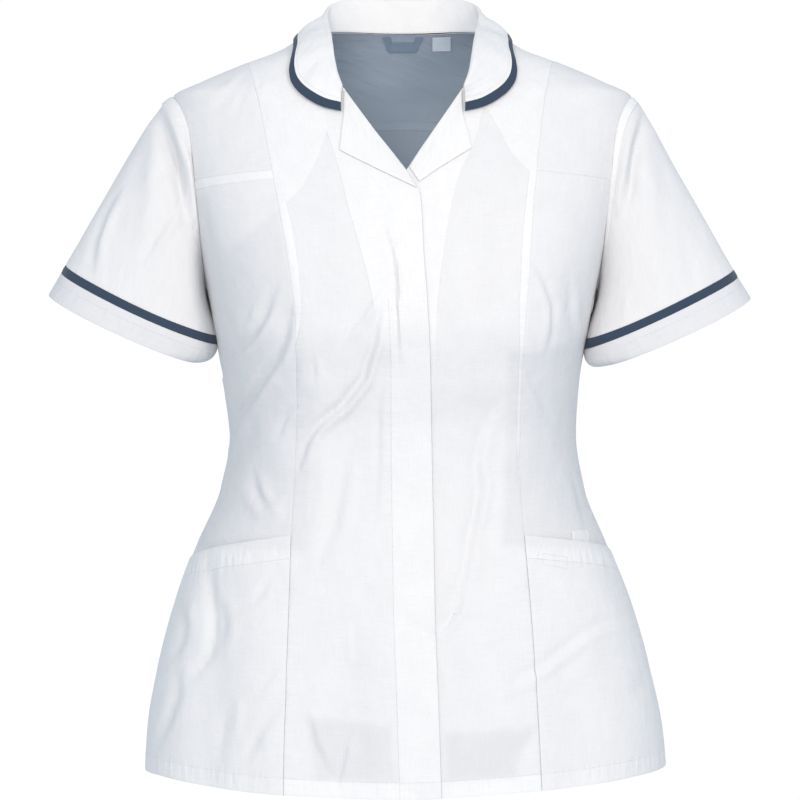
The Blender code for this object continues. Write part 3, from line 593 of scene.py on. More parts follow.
# Collar sections from the centre back round to its front end: the neck seam (x, height, and
# 1 where it lies on the back), the fold at the top (x, y, z) and the outer edge (x, height).
COLLAR = (
    (0.0, 42.0, 1, 0.0, 68.0, 76.0, 0.0, 12.0),
    (16.0, 42.0, 1, 18.0, 67.0, 76.0, 22.0, 12.0),
    (31.0, 42.0, 1, 35.0, 64.5, 75.8, 43.0, 12.5),
    (45.0, 41.8, 1, 50.0, 59.0, 75.0, 63.0, 13.5),
    (57.0, 41.0, 1, 61.0, 50.5, 72.5, 80.0, 16.0),
    (67.0, 39.5, 1, 68.5, 39.5, 67.5, 91.0, 20.0),
    (75.0, 37.6, 1, 71.0, 26.0, 60.5, 97.5, 25.0),
    (80.0, 36.0, 0, 70.5, 12.0, 53.0, 100.0, 28.0),
    (77.5, 33.5, 0, 69.0, -3.0, 45.5, 100.5, 22.5),
    (74.5, 29.0, 0, 67.3, -19.0, 37.5, 101.5, 14.0),
    (72.5, 21.0, 0, 65.5, -35.0, 28.0, 103.5, 3.0),
    (71.0, 10.0, 0, 64.0, -49.0, 17.0, 104.5, -7.0),
    (68.0, -3.0, 0, 62.0, -60.0, 5.0, 102.0, -18.0),
    (63.0, -12.5, 0, 59.5, -69.0, -6.5, 93.0, -29.0),
    (58.5, -18.5, 0, 57.2, -75.0, -14.5, 76.0, -40.0),
    (55.5, -21.5, 0, 56.0, -78.5, -19.0, 56.5, -45.5),
)
COLLAR_WALL = 1.1
STAND_OFF_NECK = 0.6
ROLL_RADIUS = 2.6
COLLAR_LIFT = 3.0
COLLAR_TRIM_WIDTH = 7.6
FALL_BULGE = 4.0
FALL_STEPS = 4
NECK_TOP = 40.0


def lifted_clear(point, lift):
    """The point moved out of the body, where it is less than lift from its face."""
    for _ in range(4):
        height = min(point[2], NECK_TOP)
        depth = DEPTH_FRONT(height) if point[1] < 0 else DEPTH_BACK(height)
        angle = math.degrees(math.atan2(point[0] / HALF[LEFT](height), -point[1] / depth))
        facing = ring_normal(angle, height)
        short = lift - float((point - ring_point(angle, height)) @ facing)
        if short > 0:
            point = point + facing * short
    return point


def collar_section(row):
    """Points from the neck seam up to the fold, over it and down to the outer edge."""
    neck_x, neck_z, on_back, fold_x, fold_y, fold_z, edge_x, edge_z = row
    neck_angle = float(angle_of(neck_x, neck_z, LEFT))
    edge_angle = float(angle_of(edge_x, edge_z, LEFT))
    if on_back:
        neck_angle, edge_angle = 180 - neck_angle, 180 - edge_angle
    neck = ring_point(neck_angle, neck_z)
    fold = np.array([fold_x, fold_y, fold_z])
    edge = ring_point(edge_angle, edge_z) + ring_normal(edge_angle, edge_z) * COLLAR_LIFT
    up = unit(fold - neck)
    low = neck + up * STAND_OFF_NECK
    down = unit(edge - fold)
    out = unit(down - (down @ up) * up)
    radius = min(ROLL_RADIUS, 0.42 * np.linalg.norm(fold - low))
    centre = fold - up * radius + out * radius
    bend = [
        centre + radius * (-math.cos(t) * out + math.sin(t) * up)
        for t in np.radians((0, 45, 90, 135, 180))
    ]
    stand = [low, (low + bend[0]) / 2]
    start = bend[-1]
    over = unit(np.cross(down, np.cross(out, down)))
    trim_from = 1 - COLLAR_TRIM_WIDTH / np.linalg.norm(edge - start)
    fall = []
    for share in [*np.linspace(0, trim_from, FALL_STEPS + 1)[1:], 1.0]:
        point = start + share * (edge - start) + over * FALL_BULGE * math.sin(math.pi * share)
        fall.append(lifted_clear(point, COLLAR_LIFT))
    return np.array(stand + bend + fall)


def collar_grid():
    half = np.array([collar_section(row) for row in COLLAR])
    other = half[:0:-1] * np.array([-1.0, 1.0, 1.0])
    return np.concatenate([other, half]).swapaxes(0, 1)


def sheet_normals(grid):
    return unit(np.cross(np.gradient(grid, axis=1), np.gradient(grid, axis=0)))


# Lapels, as the turned-out part shows: the roll line, the lower edge from the corner to the tip
# and the outer edge from the gorge down. x to the wearer's own side, and height.
LAPEL = {
    RIGHT: (
        ((53.6, -23.5), (25.4, -63.7), (-2.4, -100.4), (-11.6, -115.0)),
        ((57.6, -81.0), (20.9, -100.8), (-12.2, -117.2)),
        ((53.6, -23.5), (54.2, -47.0), (57.6, -81.0)),
    ),
    LEFT: (
        ((53.6, -23.5), (29.2, -60.5), (5.6, -97.0)),
        ((62.5, -79.0), (33.5, -97.5), (14.5, -110.5)),
        ((53.6, -23.5), (54.4, -47.0), (62.5, -79.0)),
    ),
}
LAPEL_ROWS, LAPEL_COLUMNS = 48, 28
POCKET_STANDS_OFF = 3.4


def lapel(side):
    roll, lower = (side_line(line, side, LAPEL_ROWS) for line in LAPEL[side][:2])
    tip = evenly([roll[-1], lower[-1]], LAPEL_COLUMNS)
    return patch(roll, lower, side_line(LAPEL[side][2], side, LAPEL_COLUMNS), tip)


def pocket_lift(places):
    """A pocket lies close at its seams and stands off in the middle of its mouth."""
    rows, columns = places.shape[:2]
    across = np.sin(np.linspace(0, math.pi, columns))[None, :] ** 1.4
    upward = np.linspace(0.15, 1.0, rows)[:, None] ** 1.5
    return WALL + POCKET_GAP + POCKET_STANDS_OFF * across * upward


# Pen pocket behind the mouth of the left pocket: x and height of its corners.
PEN_LEFT, PEN_RIGHT, PEN_TOP, PEN_BOTTOM = 154.5, 171.0, -428.5, -462.0
PEN_WALL = 1.0


def pen_pocket():
    x, z = np.meshgrid(np.linspace(PEN_LEFT, PEN_RIGHT, 4), np.linspace(PEN_BOTTOM, PEN_TOP, 4))
    return np.stack([angle_of(x, z, LEFT), z], -1)


# Hanger loop and size tab inside the back neck: half width, or x, against height.
LOOP_TOP, LOOP_HOLE, LOOP_BOTTOM = 39.6, 35.0, 26.6
LOOP_HALF_TOP, LOOP_HALF_BOTTOM, LOOP_HALF_HOLE = 19.7, 13.2, 11.6
TAB_FIRST, TAB_LAST, TAB_TOP, TAB_BOTTOM = 28.7, 46.2, 39.4, 27.4
TAPE_WALL = 1.0
INSIDE_GAP = 0.6


def inside_points(grid, depth):
    """Places (x, height) in the back neck, on the inner side of the cloth."""
    x, height = grid[..., 0], grid[..., 1]
    angle = 180 - angle_of(x, height, LEFT)
    return ring_point(angle, height) - ring_normal(angle, height) * depth


def loop_grid():
    """A tape that goes down from the neck seam, across and up again."""
    middle = (LOOP_HALF_TOP + LOOP_HALF_BOTTOM) / 2
    half = [
        ((LOOP_HALF_TOP, LOOP_TOP), (LOOP_HALF_HOLE, LOOP_TOP)),
        ((middle, (LOOP_TOP + LOOP_BOTTOM) / 2), (LOOP_HALF_HOLE, (LOOP_TOP + LOOP_HOLE) / 2)),
        ((LOOP_HALF_BOTTOM, LOOP_BOTTOM), (LOOP_HALF_HOLE, LOOP_HOLE)),
        ((LOOP_HALF_BOTTOM / 2, LOOP_BOTTOM), (LOOP_HALF_HOLE / 2, LOOP_HOLE)),
    ]
    other = [tuple((-x, z) for x, z in row) for row in reversed(half)]
    return np.array(half + [((0, LOOP_BOTTOM), (0, LOOP_HOLE))] + other, float)


def tab_grid():
    xs, heights = np.linspace(TAB_FIRST, TAB_LAST, 4), np.linspace(TAB_BOTTOM, TAB_TOP, 4)
    return np.stack(np.meshgrid(xs, heights), -1)


# Fine folds that only the render needs, drawn as lines. Each row: face (-1 in front, 1 behind),
# kind, width, height, then the line's points (x, height). Kind 0 is a rounded ridge or trough.
# Kind 1 is a slope, its crest on the side of greater x where the line is drawn downwards.
FINE_FOLDS = (
    (-1, 1, 6, 1.5, (-115, -213), (-122, -234), (-133, -252), (-149, -268), (-164, -284)),
    (-1, 1, 6, 1.6, (-100, -233), (-103, -254), (-110, -272), (-123, -290), (-134, -306),
        (-146, -322), (-155, -338), (-162, -351)),
    (-1, 0, 5, 0.6, (-107, -225), (-119, -256), (-128, -274), (-138, -292), (-150, -310)),
    (-1, 1, 4, 0.4, (-133, -220), (-143, -241)),
    (-1, 1, 5, 0.8, (-135, -378), (-129, -395), (-120, -409)),
    (-1, 0, 5, 0.9, (-148, -386), (-140, -403), (-129, -412), (-116, -409), (-106, -392)),
    (-1, 1, 4, 0.7, (-96, -316), (-105, -326), (-111, -341)),
    (-1, 0, 12, 0.8, (-119, -325), (-116, -354), (-112, -381)),
    (-1, 1, 5, 1.9, (-20, -237), (-24, -259), (-29, -274), (-33, -289), (-42, -301), (-52, -314),
        (-66, -325), (-77, -335), (-85, -348), (-91, -365)),
    (-1, 1, 4.5, 0.7, (-15, -203), (-28, -221), (-35, -233), (-43, -242), (-51, -256)),
    (-1, 1, 2.6, 1.1, (-15, -155), (-10, -170), (-7, -184), (-5, -205), (-5, -228), (-4, -250),
        (-2, -271)),
    (-1, 0, 4, -0.5, (-28, -124), (-19, -137), (-15, -152), (-14, -165)),
    (-1, 1, 4.5, 0.5, (-18, -290), (-20, -335), (-20, -372), (-23, -412)),
    (-1, 0, 4, 0.5, (-91, -260), (-90, -296)),
    (-1, 1, 4, 0.5, (-79, -269), (-78, -294)),
    (-1, 1, 8, 0.7, (-48, -364), (-54, -401), (-60, -426), (-69, -446)),
    (-1, 0, 9, 0.8, (-74, -345), (-73, -381), (-77, -417), (-83, -455)),
    (-1, 1, 5, 0.8, (-83, -593), (-78, -617), (-66, -640)),
    (-1, 1, 4, 0.8, (-49, -616), (-52, -634), (-57, -652)),
    (-1, 1, 4, -0.4, (-46, -507), (-46, -543)),
    (-1, 1, 6.5, 1.1, (83, -321), (74, -341), (69, -367), (72, -388), (69, -410), (64, -428),
        (61, -450), (57, -471), (50, -494)),
    (-1, 0, 7, 0.6, (96, -349), (93, -374)),
    (-1, 0, 6, 0.5, (88, -397), (93, -421)),
    (-1, 0, 3, 0.4, (103, -345), (101, -383)),
    (-1, 1, 4.5, 1, (57, -489), (50, -502), (41, -512), (31, -522)),
    (-1, 0, 4, -0.5, (-1, -507), (19, -516), (31, -528)),
    (-1, 0, 4, -0.4, (69, -536), (102, -525)),
    (-1, 1, 4, 0.5, (90, -543), (92, -565), (94, -584)),
    (-1, 1, 4, 0.5, (36, -555), (37, -573)),
    (-1, 0, 9, 0.5, (57, -534), (60, -579)),
    (-1, 1, 4.5, -0.8, (117, -187), (127, -205), (134, -223), (134, -245), (130, -262)),
    (-1, 1, 5, 0.7, (155, -204), (156, -226), (160, -246)),
    (-1, 1, 5, -0.5, (108, -283), (118, -301), (131, -323)),
    (-1, 0, 3.5, -0.8, (158, -377), (164, -399), (170, -432)),
    (-1, 0, 3, -0.5, (168, -394), (175, -429)),
    (-1, 0, 5.5, -2, (-179, -452), (-177, -483), (-174, -508), (-175, -528), (-179, -542),
        (-188, -554), (-196, -567)),
    (-1, 0, 4, -0.8, (-166, -495), (-163, -514), (-169, -533)),
    (-1, 0, 6, 1, (-194, -493), (-196, -521)),
    (-1, 0, 6, 0.8, (-162, -482), (-154, -509), (-159, -545)),
    (-1, 0, 5, -1.5, (-209, -500), (-202, -513), (-206, -530), (-215, -547)),
    (-1, 0, 5, -1.8, (-208, -559), (-209, -579), (-216, -599), (-225, -620), (-231, -630)),
    (-1, 1, 5, 0.6, (-108, -547), (-119, -561), (-128, -574)),
    (-1, 1, 5, 0.5, (-119, -473), (-128, -488), (-140, -496)),
    (-1, 0, 5, -1.3, (-107, -577), (-122, -595), (-132, -612), (-140, -627), (-146, -641)),
    (-1, 0, 6, 0.7, (-118, -603), (-127, -626)),
    (-1, 0, 6, -0.8, (-159, -584), (-165, -613), (-168, -641)),
    (-1, 0, 4, 0.7, (-148, -580), (-151, -616)),
    (-1, 1, 6, 0.8, (205, -513), (180, -517), (161, -527), (142, -541), (124, -554), (92, -570)),
    (-1, 0, 9, 0.5, (180, -537), (142, -571)),
    (-1, 0, 7, -0.5, (230, -562), (208, -583)),
    (-1, 0, 6, -0.4, (122, -472), (129, -508)),
    (-1, 0, 4, -0.6, (-145, -4), (-158, -24), (-173, -39)),
    (-1, 0, 4, -0.4, (-142, -8), (-150, -32), (-156, -49)),
    (-1, 0, 3.5, 0.4, (-149, -6), (-166, -21), (-183, -30)),
    (-1, 0, 5, -0.5, (-184, -120), (-181, -143), (-180, -170)),
    (1, 0, 9, -1.8, (-150, -190), (-110, -204), (-70, -232)),
    (1, 0, 9, -1.7, (150, -192), (112, -206), (72, -232)),
    (1, 0, 7, 1.2, (-140, -218), (-84, -260)),
    (1, 0, 7, 1.1, (138, -220), (88, -258)),
    (1, 1, 8, 1.6, (-124, -392), (-84, -378), (-40, -358)),
    (1, 1, 8, 1.5, (126, -390), (86, -378), (44, -362)),
    (1, 0, 8, -1.5, (-130, -300), (-92, -312), (-60, -330)),
    (1, 0, 8, -1.5, (130, -304), (94, -316), (62, -332)),
    (1, 1, 9, 1.5, (-66, -548), (-60, -600), (-64, -654)),
    (1, 1, 9, -1.4, (54, -552), (48, -604), (52, -654)),
    (1, 1, 8, 0.9, (-20, -430), (-26, -500), (-18, -560)),
    (1, 0, 11, -1.3, (-150, -84), (-128, -120), (-112, -170)),
    (1, 0, 11, -1.2, (150, -86), (128, -122), (112, -170)),
    (1, 0, 12, -1, (-60, -62), (-30, -140)),
    (1, 0, 12, -0.9, (58, -64), (32, -140)),
)

SLEEVE_FOLDS = (
    (-1, 1, 8, 3, (-224, -39), (-213, -67), (-203, -96), (-198, -120), (-194, -144)),
    (-1, 0, 7, -2.2, (-227, -47), (-216, -75), (-208, -101), (-201, -127)),
    (-1, 0, 9, 1.4, (-229, -58), (-231, -90), (-233, -119), (-237, -150)),
    (-1, 1, 5, 0.9, (-208, -133), (-219, -150), (-228, -165), (-236, -181)),
    (-1, 1, 6, 1.3, (-265, -119), (-274, -137), (-282, -160), (-285, -184)),
    (-1, 0, 10, 1, (-200, -157), (-198, -197), (-200, -233)),
    (-1, 0, 8, -0.6, (-252, -147), (-257, -175)),
    (-1, 1, 6, -2.2, (221, -45), (212, -73), (207, -103), (202, -129)),
    (-1, 0, 5, -1.6, (227, -52), (218, -78), (213, -107), (209, -131)),
    (-1, 0, 10, 1, (225, -86), (230, -123), (232, -161)),
    (-1, 0, 3, 0.4, (206, -209), (204, -235)),
    (-1, 0, 3, 0.35, (239, -181), (237, -209)),
    (-1, 0, 4, -0.35, (265, -177), (268, -203)),
    (-1, 0, 8, -0.7, (261, -127), (279, -164)),
    (1, 0, 5.5, -2.2, (-206, -46), (-202, -90), (-198, -140)),
    (1, 0, 9, 1.3, (-232, -60), (-240, -110), (-246, -150)),
    (1, 1, 6, 1.1, (-262, -120), (-276, -158), (-284, -184)),
    (1, 0, 4.5, -1.8, (208, -44), (204, -90), (200, -138)),
    (1, 0, 9, 1.3, (234, -62), (240, -110), (246, -150)),
    (1, 1, 6, -1, (264, -124), (278, -160), (284, -184)),
)
# What makes a slope as high as its row says, and what all the drawn folds are raised by.
SLOPE_GAIN, FOLD_GAIN = 2.33, 2.2


def fold_profile(kind, away, width):
    share = away / width
    round_line = np.exp(-(share**2))
    return round_line if kind == 0 else SLOPE_GAIN * share * round_line


def line_folds(points, table):
    """How far the drawn folds move the cloth out. Each fades towards the ends of its line."""
    total = np.zeros(points.shape[:-1])
    places = points[..., [0, 2]]
    for face, kind, width, height, *spots in table:
        spots = np.array(spots, float)
        low, high = spots.min(axis=0) - 3 * width, spots.max(axis=0) + 3 * width
        near = np.all((places > low) & (places < high), axis=-1) & (points[..., 1] * face > -20)
        here = places[near]
        nearest = np.full(len(here), np.inf)
        signed, along = np.zeros(len(here)), np.zeros(len(here))
        legs = np.diff(spots, axis=0)
        lengths = np.linalg.norm(legs, axis=1)
        before = np.concatenate([[0], np.cumsum(lengths)])
        for start, leg, length, passed in zip(spots, legs, lengths, before):
            share, offset = off_line(here, start, leg)
            away = np.linalg.norm(offset, axis=-1)
            side = np.sign(leg[0] * offset[:, 1] - leg[1] * offset[:, 0])
            closer = away < nearest
            nearest[closer] = away[closer]
            signed[closer] = (side * away)[closer]
            along[closer] = (passed + share * length)[closer]
        middle = np.clip(np.sin(np.pi * along / before[-1]), 0, 1)
        shown = (0.25 + 0.75 * middle**0.8) * on_face(face, points[near])
        total[near] += FOLD_GAIN * height * shown * fold_profile(kind, signed, width)
    return total


def cloth_drift(points):
    """Slow and middling unevenness of real cloth, under a millimetre."""
    x, y, z = points[..., 0], points[..., 1], points[..., 2]
    wave = 0.32 * np.sin(x / 19 + 1.3 * np.sin(z / 41) + y / 29)
    wave += 0.28 * np.sin(z / 27 + 1.1 * np.sin(x / 31 + y / 37))
    wave += 0.07 * np.sin(x / 8.5 + z / 15 + 1.5 * np.sin(y / 13 + z / 33))
    return wave


def fine_rise(points, table):
    return line_folds(points, table) + cloth_drift(points)


def run_lengths(points, axis):
    """Distance of each point from the start of its row or column."""
    steps = np.linalg.norm(np.diff(points, axis=axis), axis=-1)
    lengths = np.cumsum(steps, axis=axis)
    zero = np.zeros_like(np.take(lengths, [0], axis=axis))
    return np.concatenate([zero, lengths], axis=axis)


def edge_distances(points):
    """Distance of each point of a grid from its four edges: first, last, bottom and top."""
    across, upward = run_lengths(points, 1), run_lengths(points, 0)
    return {
        "first": across,
        "last": across[:, -1:] - across,
        "bottom": upward,
        "top": upward[-1:] - upward,
    }


RIM_SHARES = (0.0, 0.2, 0.5)


def rimmed(grid):
    """The grid with two more rows and columns close inside each edge, where cloth rolls over."""
    for _ in range(2):
        first = [grid[0] + share * (grid[1] - grid[0]) for share in RIM_SHARES]
        last = [grid[-1] + share * (grid[-2] - grid[-1]) for share in RIM_SHARES]
        grid = np.concatenate([np.stack(first), grid[1:-1], np.stack(last[::-1])])
        grid = grid.swapaxes(0, 1)
    return grid


ROLL_DEPTH, ROLL_WIDTH = 0.34, 0.9


def edge_roll(distances, edges=("first", "last", "bottom", "top")):
    """Each edge turns down a little, as a seam or a turned hem does."""
    return -ROLL_DEPTH * sum(np.exp(-((distances[edge] / ROLL_WIDTH) ** 2)) for edge in edges)


PUCKER_WIDTH = 9.0
# A distance at which no second layer shows.
NO_BAND = 60.0


def puckers(shape, distances, rows):
    """How strongly sewn lines draw the cloth into ripples: those along the rows of a grid, then
    those along its columns. A row of the table is an edge, its distance and a strength."""
    total = np.zeros((2, *shape))
    for edge, depth, strength in rows:
        away = (distances[edge] - depth) / PUCKER_WIDTH
        total[int(edge in ("first", "last"))] += strength * np.exp(-(away**2))
    return total


def strongest_band(shape, bands):
    """Where a second layer lies under the cloth: distance in mm, below zero there, and how
    strongly it shows. Each band gives its distance and its strength."""
    nearest, strength = np.full(shape, NO_BAND), np.zeros(shape)
    for field, share in bands:
        closer = field < nearest
        nearest = np.where(closer, field, nearest)
        strength = np.where(closer, share, strength)
    return nearest, strength


def new_node(tree, kind, inputs=(), **values):
    """A node with its settings and inputs. A socket among the inputs is linked."""
    node = tree.nodes.new(kind)
    for name, value in values.items():
        setattr(node, name, value)
    for name, value in dict(inputs).items():
        if isinstance(value, bpy.types.NodeSocket):
            tree.links.new(value, node.inputs[name])
        else:
            node.inputs[name].default_value = value
    return node


def mapped(tree, source, low, high, to_low=0.0, to_high=1.0):
    ends = {"From Min": low, "From Max": high, "To Min": to_low, "To Max": to_high}
    return new_node(tree, "ShaderNodeMapRange", {"Value": source, **ends}).outputs["Result"]


def vector_math(tree, operation, *inputs):
    node = new_node(tree, "ShaderNodeVectorMath", enumerate(inputs), operation=operation)
    return node.outputs["Vector"]


def number_math(tree, operation, *inputs):
    node = new_node(tree, "ShaderNodeMath", enumerate(inputs), operation=operation)
    return node.outputs["Value"]


def mixed(tree, share, first, second):
    inputs = {"Factor": share, "A": first, "B": second}
    return new_node(tree, "ShaderNodeMix", inputs, data_type="RGBA").outputs["Result"]


def noise_on_cloth(tree, place, stretch, detail, roughness=0.5):
    """Noise in the cloth's own millimetres: stretch is how many features there are in one."""
    scaled = vector_math(tree, "MULTIPLY", place, (*stretch, 1.0))
    inputs = {"Vector": scaled, "Scale": 1.0, "Detail": detail, "Roughness": roughness}
    return new_node(tree, "ShaderNodeTexNoise", inputs).outputs["Fac"]


def bumped(tree, height, distance, strength, over=None):
    """Relief as high as distance, on top of the relief before it."""
    inputs = {"Height": height, "Distance": distance, "Strength": strength}
    if over is not None:
        inputs["Normal"] = over
    return new_node(tree, "ShaderNodeBump", inputs).outputs["Normal"]


# Ripples that sewn lines draw the cloth into: the field of their strength, and how close they
# stand along and up the piece.
RIPPLES = (("pucker_across", (0.13, 0.022)), ("pucker_upward", (0.022, 0.13)))
# Heights of the relief in the cloth, in metres.
RIPPLE_HEIGHT, LAYER_HEIGHT, CRUMPLE_HEIGHT = 0.0024, 0.0005, 0.003
SLUB_HEIGHT, THREAD_HEIGHT = 0.00022, 0.0001


def cloth_shader(name, single, double, weave, nap, roughness, slub):
    """Woven cloth: threads, slubs and soft creases in its bump, and painted shade in its colour:
    darker where single than where double, as the dark inside shows through, and darker again where
    the pieces give it more painted shade.
    """
    material = bpy.data.materials.new(name)
    material.use_nodes = True
    tree = material.node_tree
    shader = tree.nodes["Principled BSDF"]
    shader.inputs["Roughness"].default_value = roughness
    shader.inputs["Sheen Weight"].default_value = nap
    shader.inputs["Sheen Roughness"].default_value = 0.45
    shader.inputs["Specular IOR Level"].default_value = 0.18
    fields = ("band_mm", "band_share", "painted_shade_share", "inside_shade_share", *(row[0] for row in RIPPLES))
    band, share, painted_shade, inside, *sewn = (
        new_node(tree, "ShaderNodeAttribute", attribute_name=field).outputs["Fac"]
        for field in fields
    )
    place = new_node(tree, "ShaderNodeUVMap", uv_map="cloth_mm").outputs["UV"]
    doubled = number_math(tree, "MULTIPLY", mapped(tree, band, 0.45, -0.45), share)

    warp = noise_on_cloth(tree, place, (1.1, 0.045), 2.0)
    weft = noise_on_cloth(tree, place, (0.05, 1.2), 2.0)
    slubs = number_math(tree, "ADD", warp, weft)
    slub_tone = mapped(tree, slubs, 0.6, 1.4, -slub, slub)
    mottle = noise_on_cloth(tree, place, (0.035, 0.03), 3.0)
    tone = number_math(tree, "ADD", slub_tone, mapped(tree, mottle, 0.3, 0.7, 0.97, 1.0))
    # Single cloth is painted darker than double: shade of the dark inside, showing through one
    # layer.
    colour = mixed(tree, doubled, (*single, 1.0), (*double, 1.0))
    colour = vector_math(tree, "MULTIPLY", colour, tone)
    # Painted shade: where the dark inside shows through single cloth and over the cuffs, then on
    # the inner faces.
    for share, taken in ((painted_shade, PAINTED_SHADE_TINT), (inside, INSIDE_SHADE_TINT)):
        tint = vector_math(tree, "MULTIPLY_ADD", share, taken, (1.0, 1.0, 1.0))
        colour = vector_math(tree, "MULTIPLY", colour, tint)
    tree.links.new(colour, shader.inputs["Base Color"])

    threads = []
    for direction in ("X", "Y"):
        inputs = {"Vector": place, "Scale": weave, "Distortion": 0.6, "Detail": 1.0}
        thread = new_node(tree, "ShaderNodeTexWave", inputs, bands_direction=direction)
        threads.append(thread.outputs["Fac"])
    crumple = noise_on_cloth(tree, place, (0.06, 0.045), 2.0, 0.4)
    normal = bumped(tree, doubled, LAYER_HEIGHT, 1.0)
    normal = bumped(tree, crumple, CRUMPLE_HEIGHT, 0.4, normal)
    for strength, (_, stretch) in zip(sewn, RIPPLES):
        ripples = mapped(tree, noise_on_cloth(tree, place, stretch, 1.5), 0.0, 1.0, -0.5, 0.5)
        ripples = number_math(tree, "MULTIPLY", ripples, strength)
        normal = bumped(tree, ripples, RIPPLE_HEIGHT, 1.0, normal)
    normal = bumped(tree, slubs, SLUB_HEIGHT, 0.6, normal)
    normal = bumped(tree, number_math(tree, "ADD", *threads), THREAD_HEIGHT, 0.5, normal)
    tree.links.new(normal, shader.inputs["Normal"])
    return material


# Painted shade, as what it takes from red, green and blue: where single cloth lets the dark inside
# show, and over the cuffs.
PAINTED_SHADE_TINT = (-1.08, -1.0, -0.86)
# Painted shade on the inner faces: what it takes from red, green and blue, and how much of it they
# get.
INSIDE_SHADE_TINT = (-1.58, -1.33, -1.04)
INSIDE_PAINTED_SHADE = 0.385
# White where single, with painted shade of the dark inside showing through, and where double,
# without it.
WHITE_SINGLE, WHITE_DOUBLE = (0.770, 0.772, 0.784), (0.840, 0.841, 0.848)
NAVY_STRIP = (0.040, 0.062, 0.100)
SLATE_TAPE, GREY_TAPE = (0.18, 0.25, 0.34), (0.60, 0.69, 0.80)
WEAVE = 0.52
# Finish and material name, colour where single and where double, closeness of the threads,
# nap, roughness, and how far slubs change the tone.
MATERIALS = {
    name: cloth_shader(long_name, single, double, weave, nap, roughness, slub)
    for name, long_name, single, double, weave, nap, roughness, slub in (
        ("white", "white_polycotton", WHITE_SINGLE, WHITE_DOUBLE, WEAVE, 0.12, 0.82, 0.03),
        ("navy", "navy_polycotton", NAVY_STRIP, NAVY_STRIP, WEAVE, 0.2, 0.85, 0.10),
        ("slate", "slate_tape", SLATE_TAPE, SLATE_TAPE, 0.4, 0.1, 0.6, 0.03),
        ("grey", "grey_tape", GREY_TAPE, GREY_TAPE, 0.4, 0.1, 0.6, 0.03),
        ("thread", "white_thread", WHITE_DOUBLE, WHITE_DOUBLE, 1.2, 0.05, 0.6, 0.03),
    )
}

PIECES, STITCHES = {}, {}
# Faces that meet at more than this, in degrees, keep a sharp edge.
SHARP_ANGLE = 50


def shell_faces(rows, columns, wraps):
    """Faces of the outer and inner grids and of the rims between them."""
    count = rows * columns
    steps = np.arange(columns if wraps else columns - 1)
    row, column = np.meshgrid(np.arange(rows - 1), steps, indexing="ij")
    beside = (column + 1) % columns
    a, b = row * columns + column, row * columns + beside
    c, d = (row + 1) * columns + beside, (row + 1) * columns + column
    quads = np.stack([a, b, c, d], -1).reshape(-1, 4)
    faces = [quads, quads[:, ::-1] + count]

    def rim(first, second):
        faces.append(np.stack([second, first, first + count, second + count], 1))

    after = (steps + 1) % columns
    rim(steps, after)
    rim((rows - 1) * columns + after, (rows - 1) * columns + steps)
    if not wraps:
        side = np.arange(rows - 1) * columns
        rim(side + columns, side)
        rim(side + columns - 1, side + 2 * columns - 1)
    return np.concatenate(faces)


def thin_shell(
    node, outer, inner, finish, bands=(), painted_shade=None, inside=0.0, sewn=None, wraps=False
):
    """A cloth piece between two grids, with its places on the cloth in millimetres as UVs. The
    argument after bands is painted shade on both faces, and inside is how much painted shade its
    inner face gets."""
    rows, columns = outer.shape[:2]
    faces = shell_faces(rows, columns, wraps)
    points = np.concatenate([outer.reshape(-1, 3), inner.reshape(-1, 3)])
    corners = points[faces]
    swept = np.cross(corners[:, 1] - corners[:, 0], corners[:, 2] - corners[:, 0])
    swept += np.cross(corners[:, 2] - corners[:, 0], corners[:, 3] - corners[:, 0])
    if np.sum(swept * corners.mean(axis=1)) < 0:
        faces = faces[:, ::-1]
    mesh = bpy.data.meshes.new(node + "_shell")
    mesh.from_pydata((points * MM).tolist(), [], faces.tolist())
    across, upward = run_lengths(outer, 1), run_lengths(outer, 0)
    places = np.stack([across, upward], -1).reshape(-1, 2)
    loops = np.zeros(len(mesh.loops), np.int32)
    mesh.loops.foreach_get("vertex_index", loops)
    layer = mesh.uv_layers.new(name="cloth_mm")
    layer.data.foreach_set("uv", np.tile(places, (2, 1))[loops].astype(np.float32).ravel())
    nearest, strength = strongest_band((rows, columns), bands)
    blank = np.zeros((rows, columns))
    painted_shade = blank if painted_shade is None else painted_shade
    rippled_across, rippled_upward = (blank, blank) if sewn is None else sewn
    fields = {
        "band_mm": (nearest, nearest),
        "band_share": (strength, strength),
        "painted_shade_share": (painted_shade, painted_shade),
        "pucker_across": (rippled_across, rippled_across),
        "pucker_upward": (rippled_upward, rippled_upward),
        "inside_shade_share": (blank, blank + inside),
    }
    for name, on_both_faces in fields.items():
        attribute = mesh.attributes.new(name, "FLOAT", "POINT")
        attribute.data.foreach_set("value", np.stack(on_both_faces).astype(np.float32).ravel())
    mesh.materials.append(MATERIALS[finish])
    mesh.shade_smooth()
    mesh.set_sharp_from_angle(angle=math.radians(SHARP_ANGLE))
    piece = bpy.data.objects.new(node + "_shell", mesh)
    bpy.context.scene.collection.objects.link(piece)
    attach(piece, "root")
    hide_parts(node)
    PIECES[node] = piece


# Painted shade where single cloth lets the dark inside show: how much darker, how soft its edge
# is, and the corners of its outline on the front (x, height).
SHOW_THROUGH_SHADE_AREAS = (
    (0.075, 1.6, (-88, -594), (-12, -602), (-7, -652), (-78, -650)),
    (0.085, 1.8, (38, -609), (87, -607), (121, -604), (105, -629), (101, -649), (39, -652)),
    (0.07, 1.6, (-215, -112), (-184, -122), (-177, -138), (-165, -167), (-158, -170),
        (-143, -159), (-112, -136), (-80, -300), (-90, -445), (-215, -445)),
    (0.07, 1.5, (96, -264), (129, -264), (148, -256), (163, -248), (176, -230), (230, -230),
        (230, -450), (90, -440)),
)


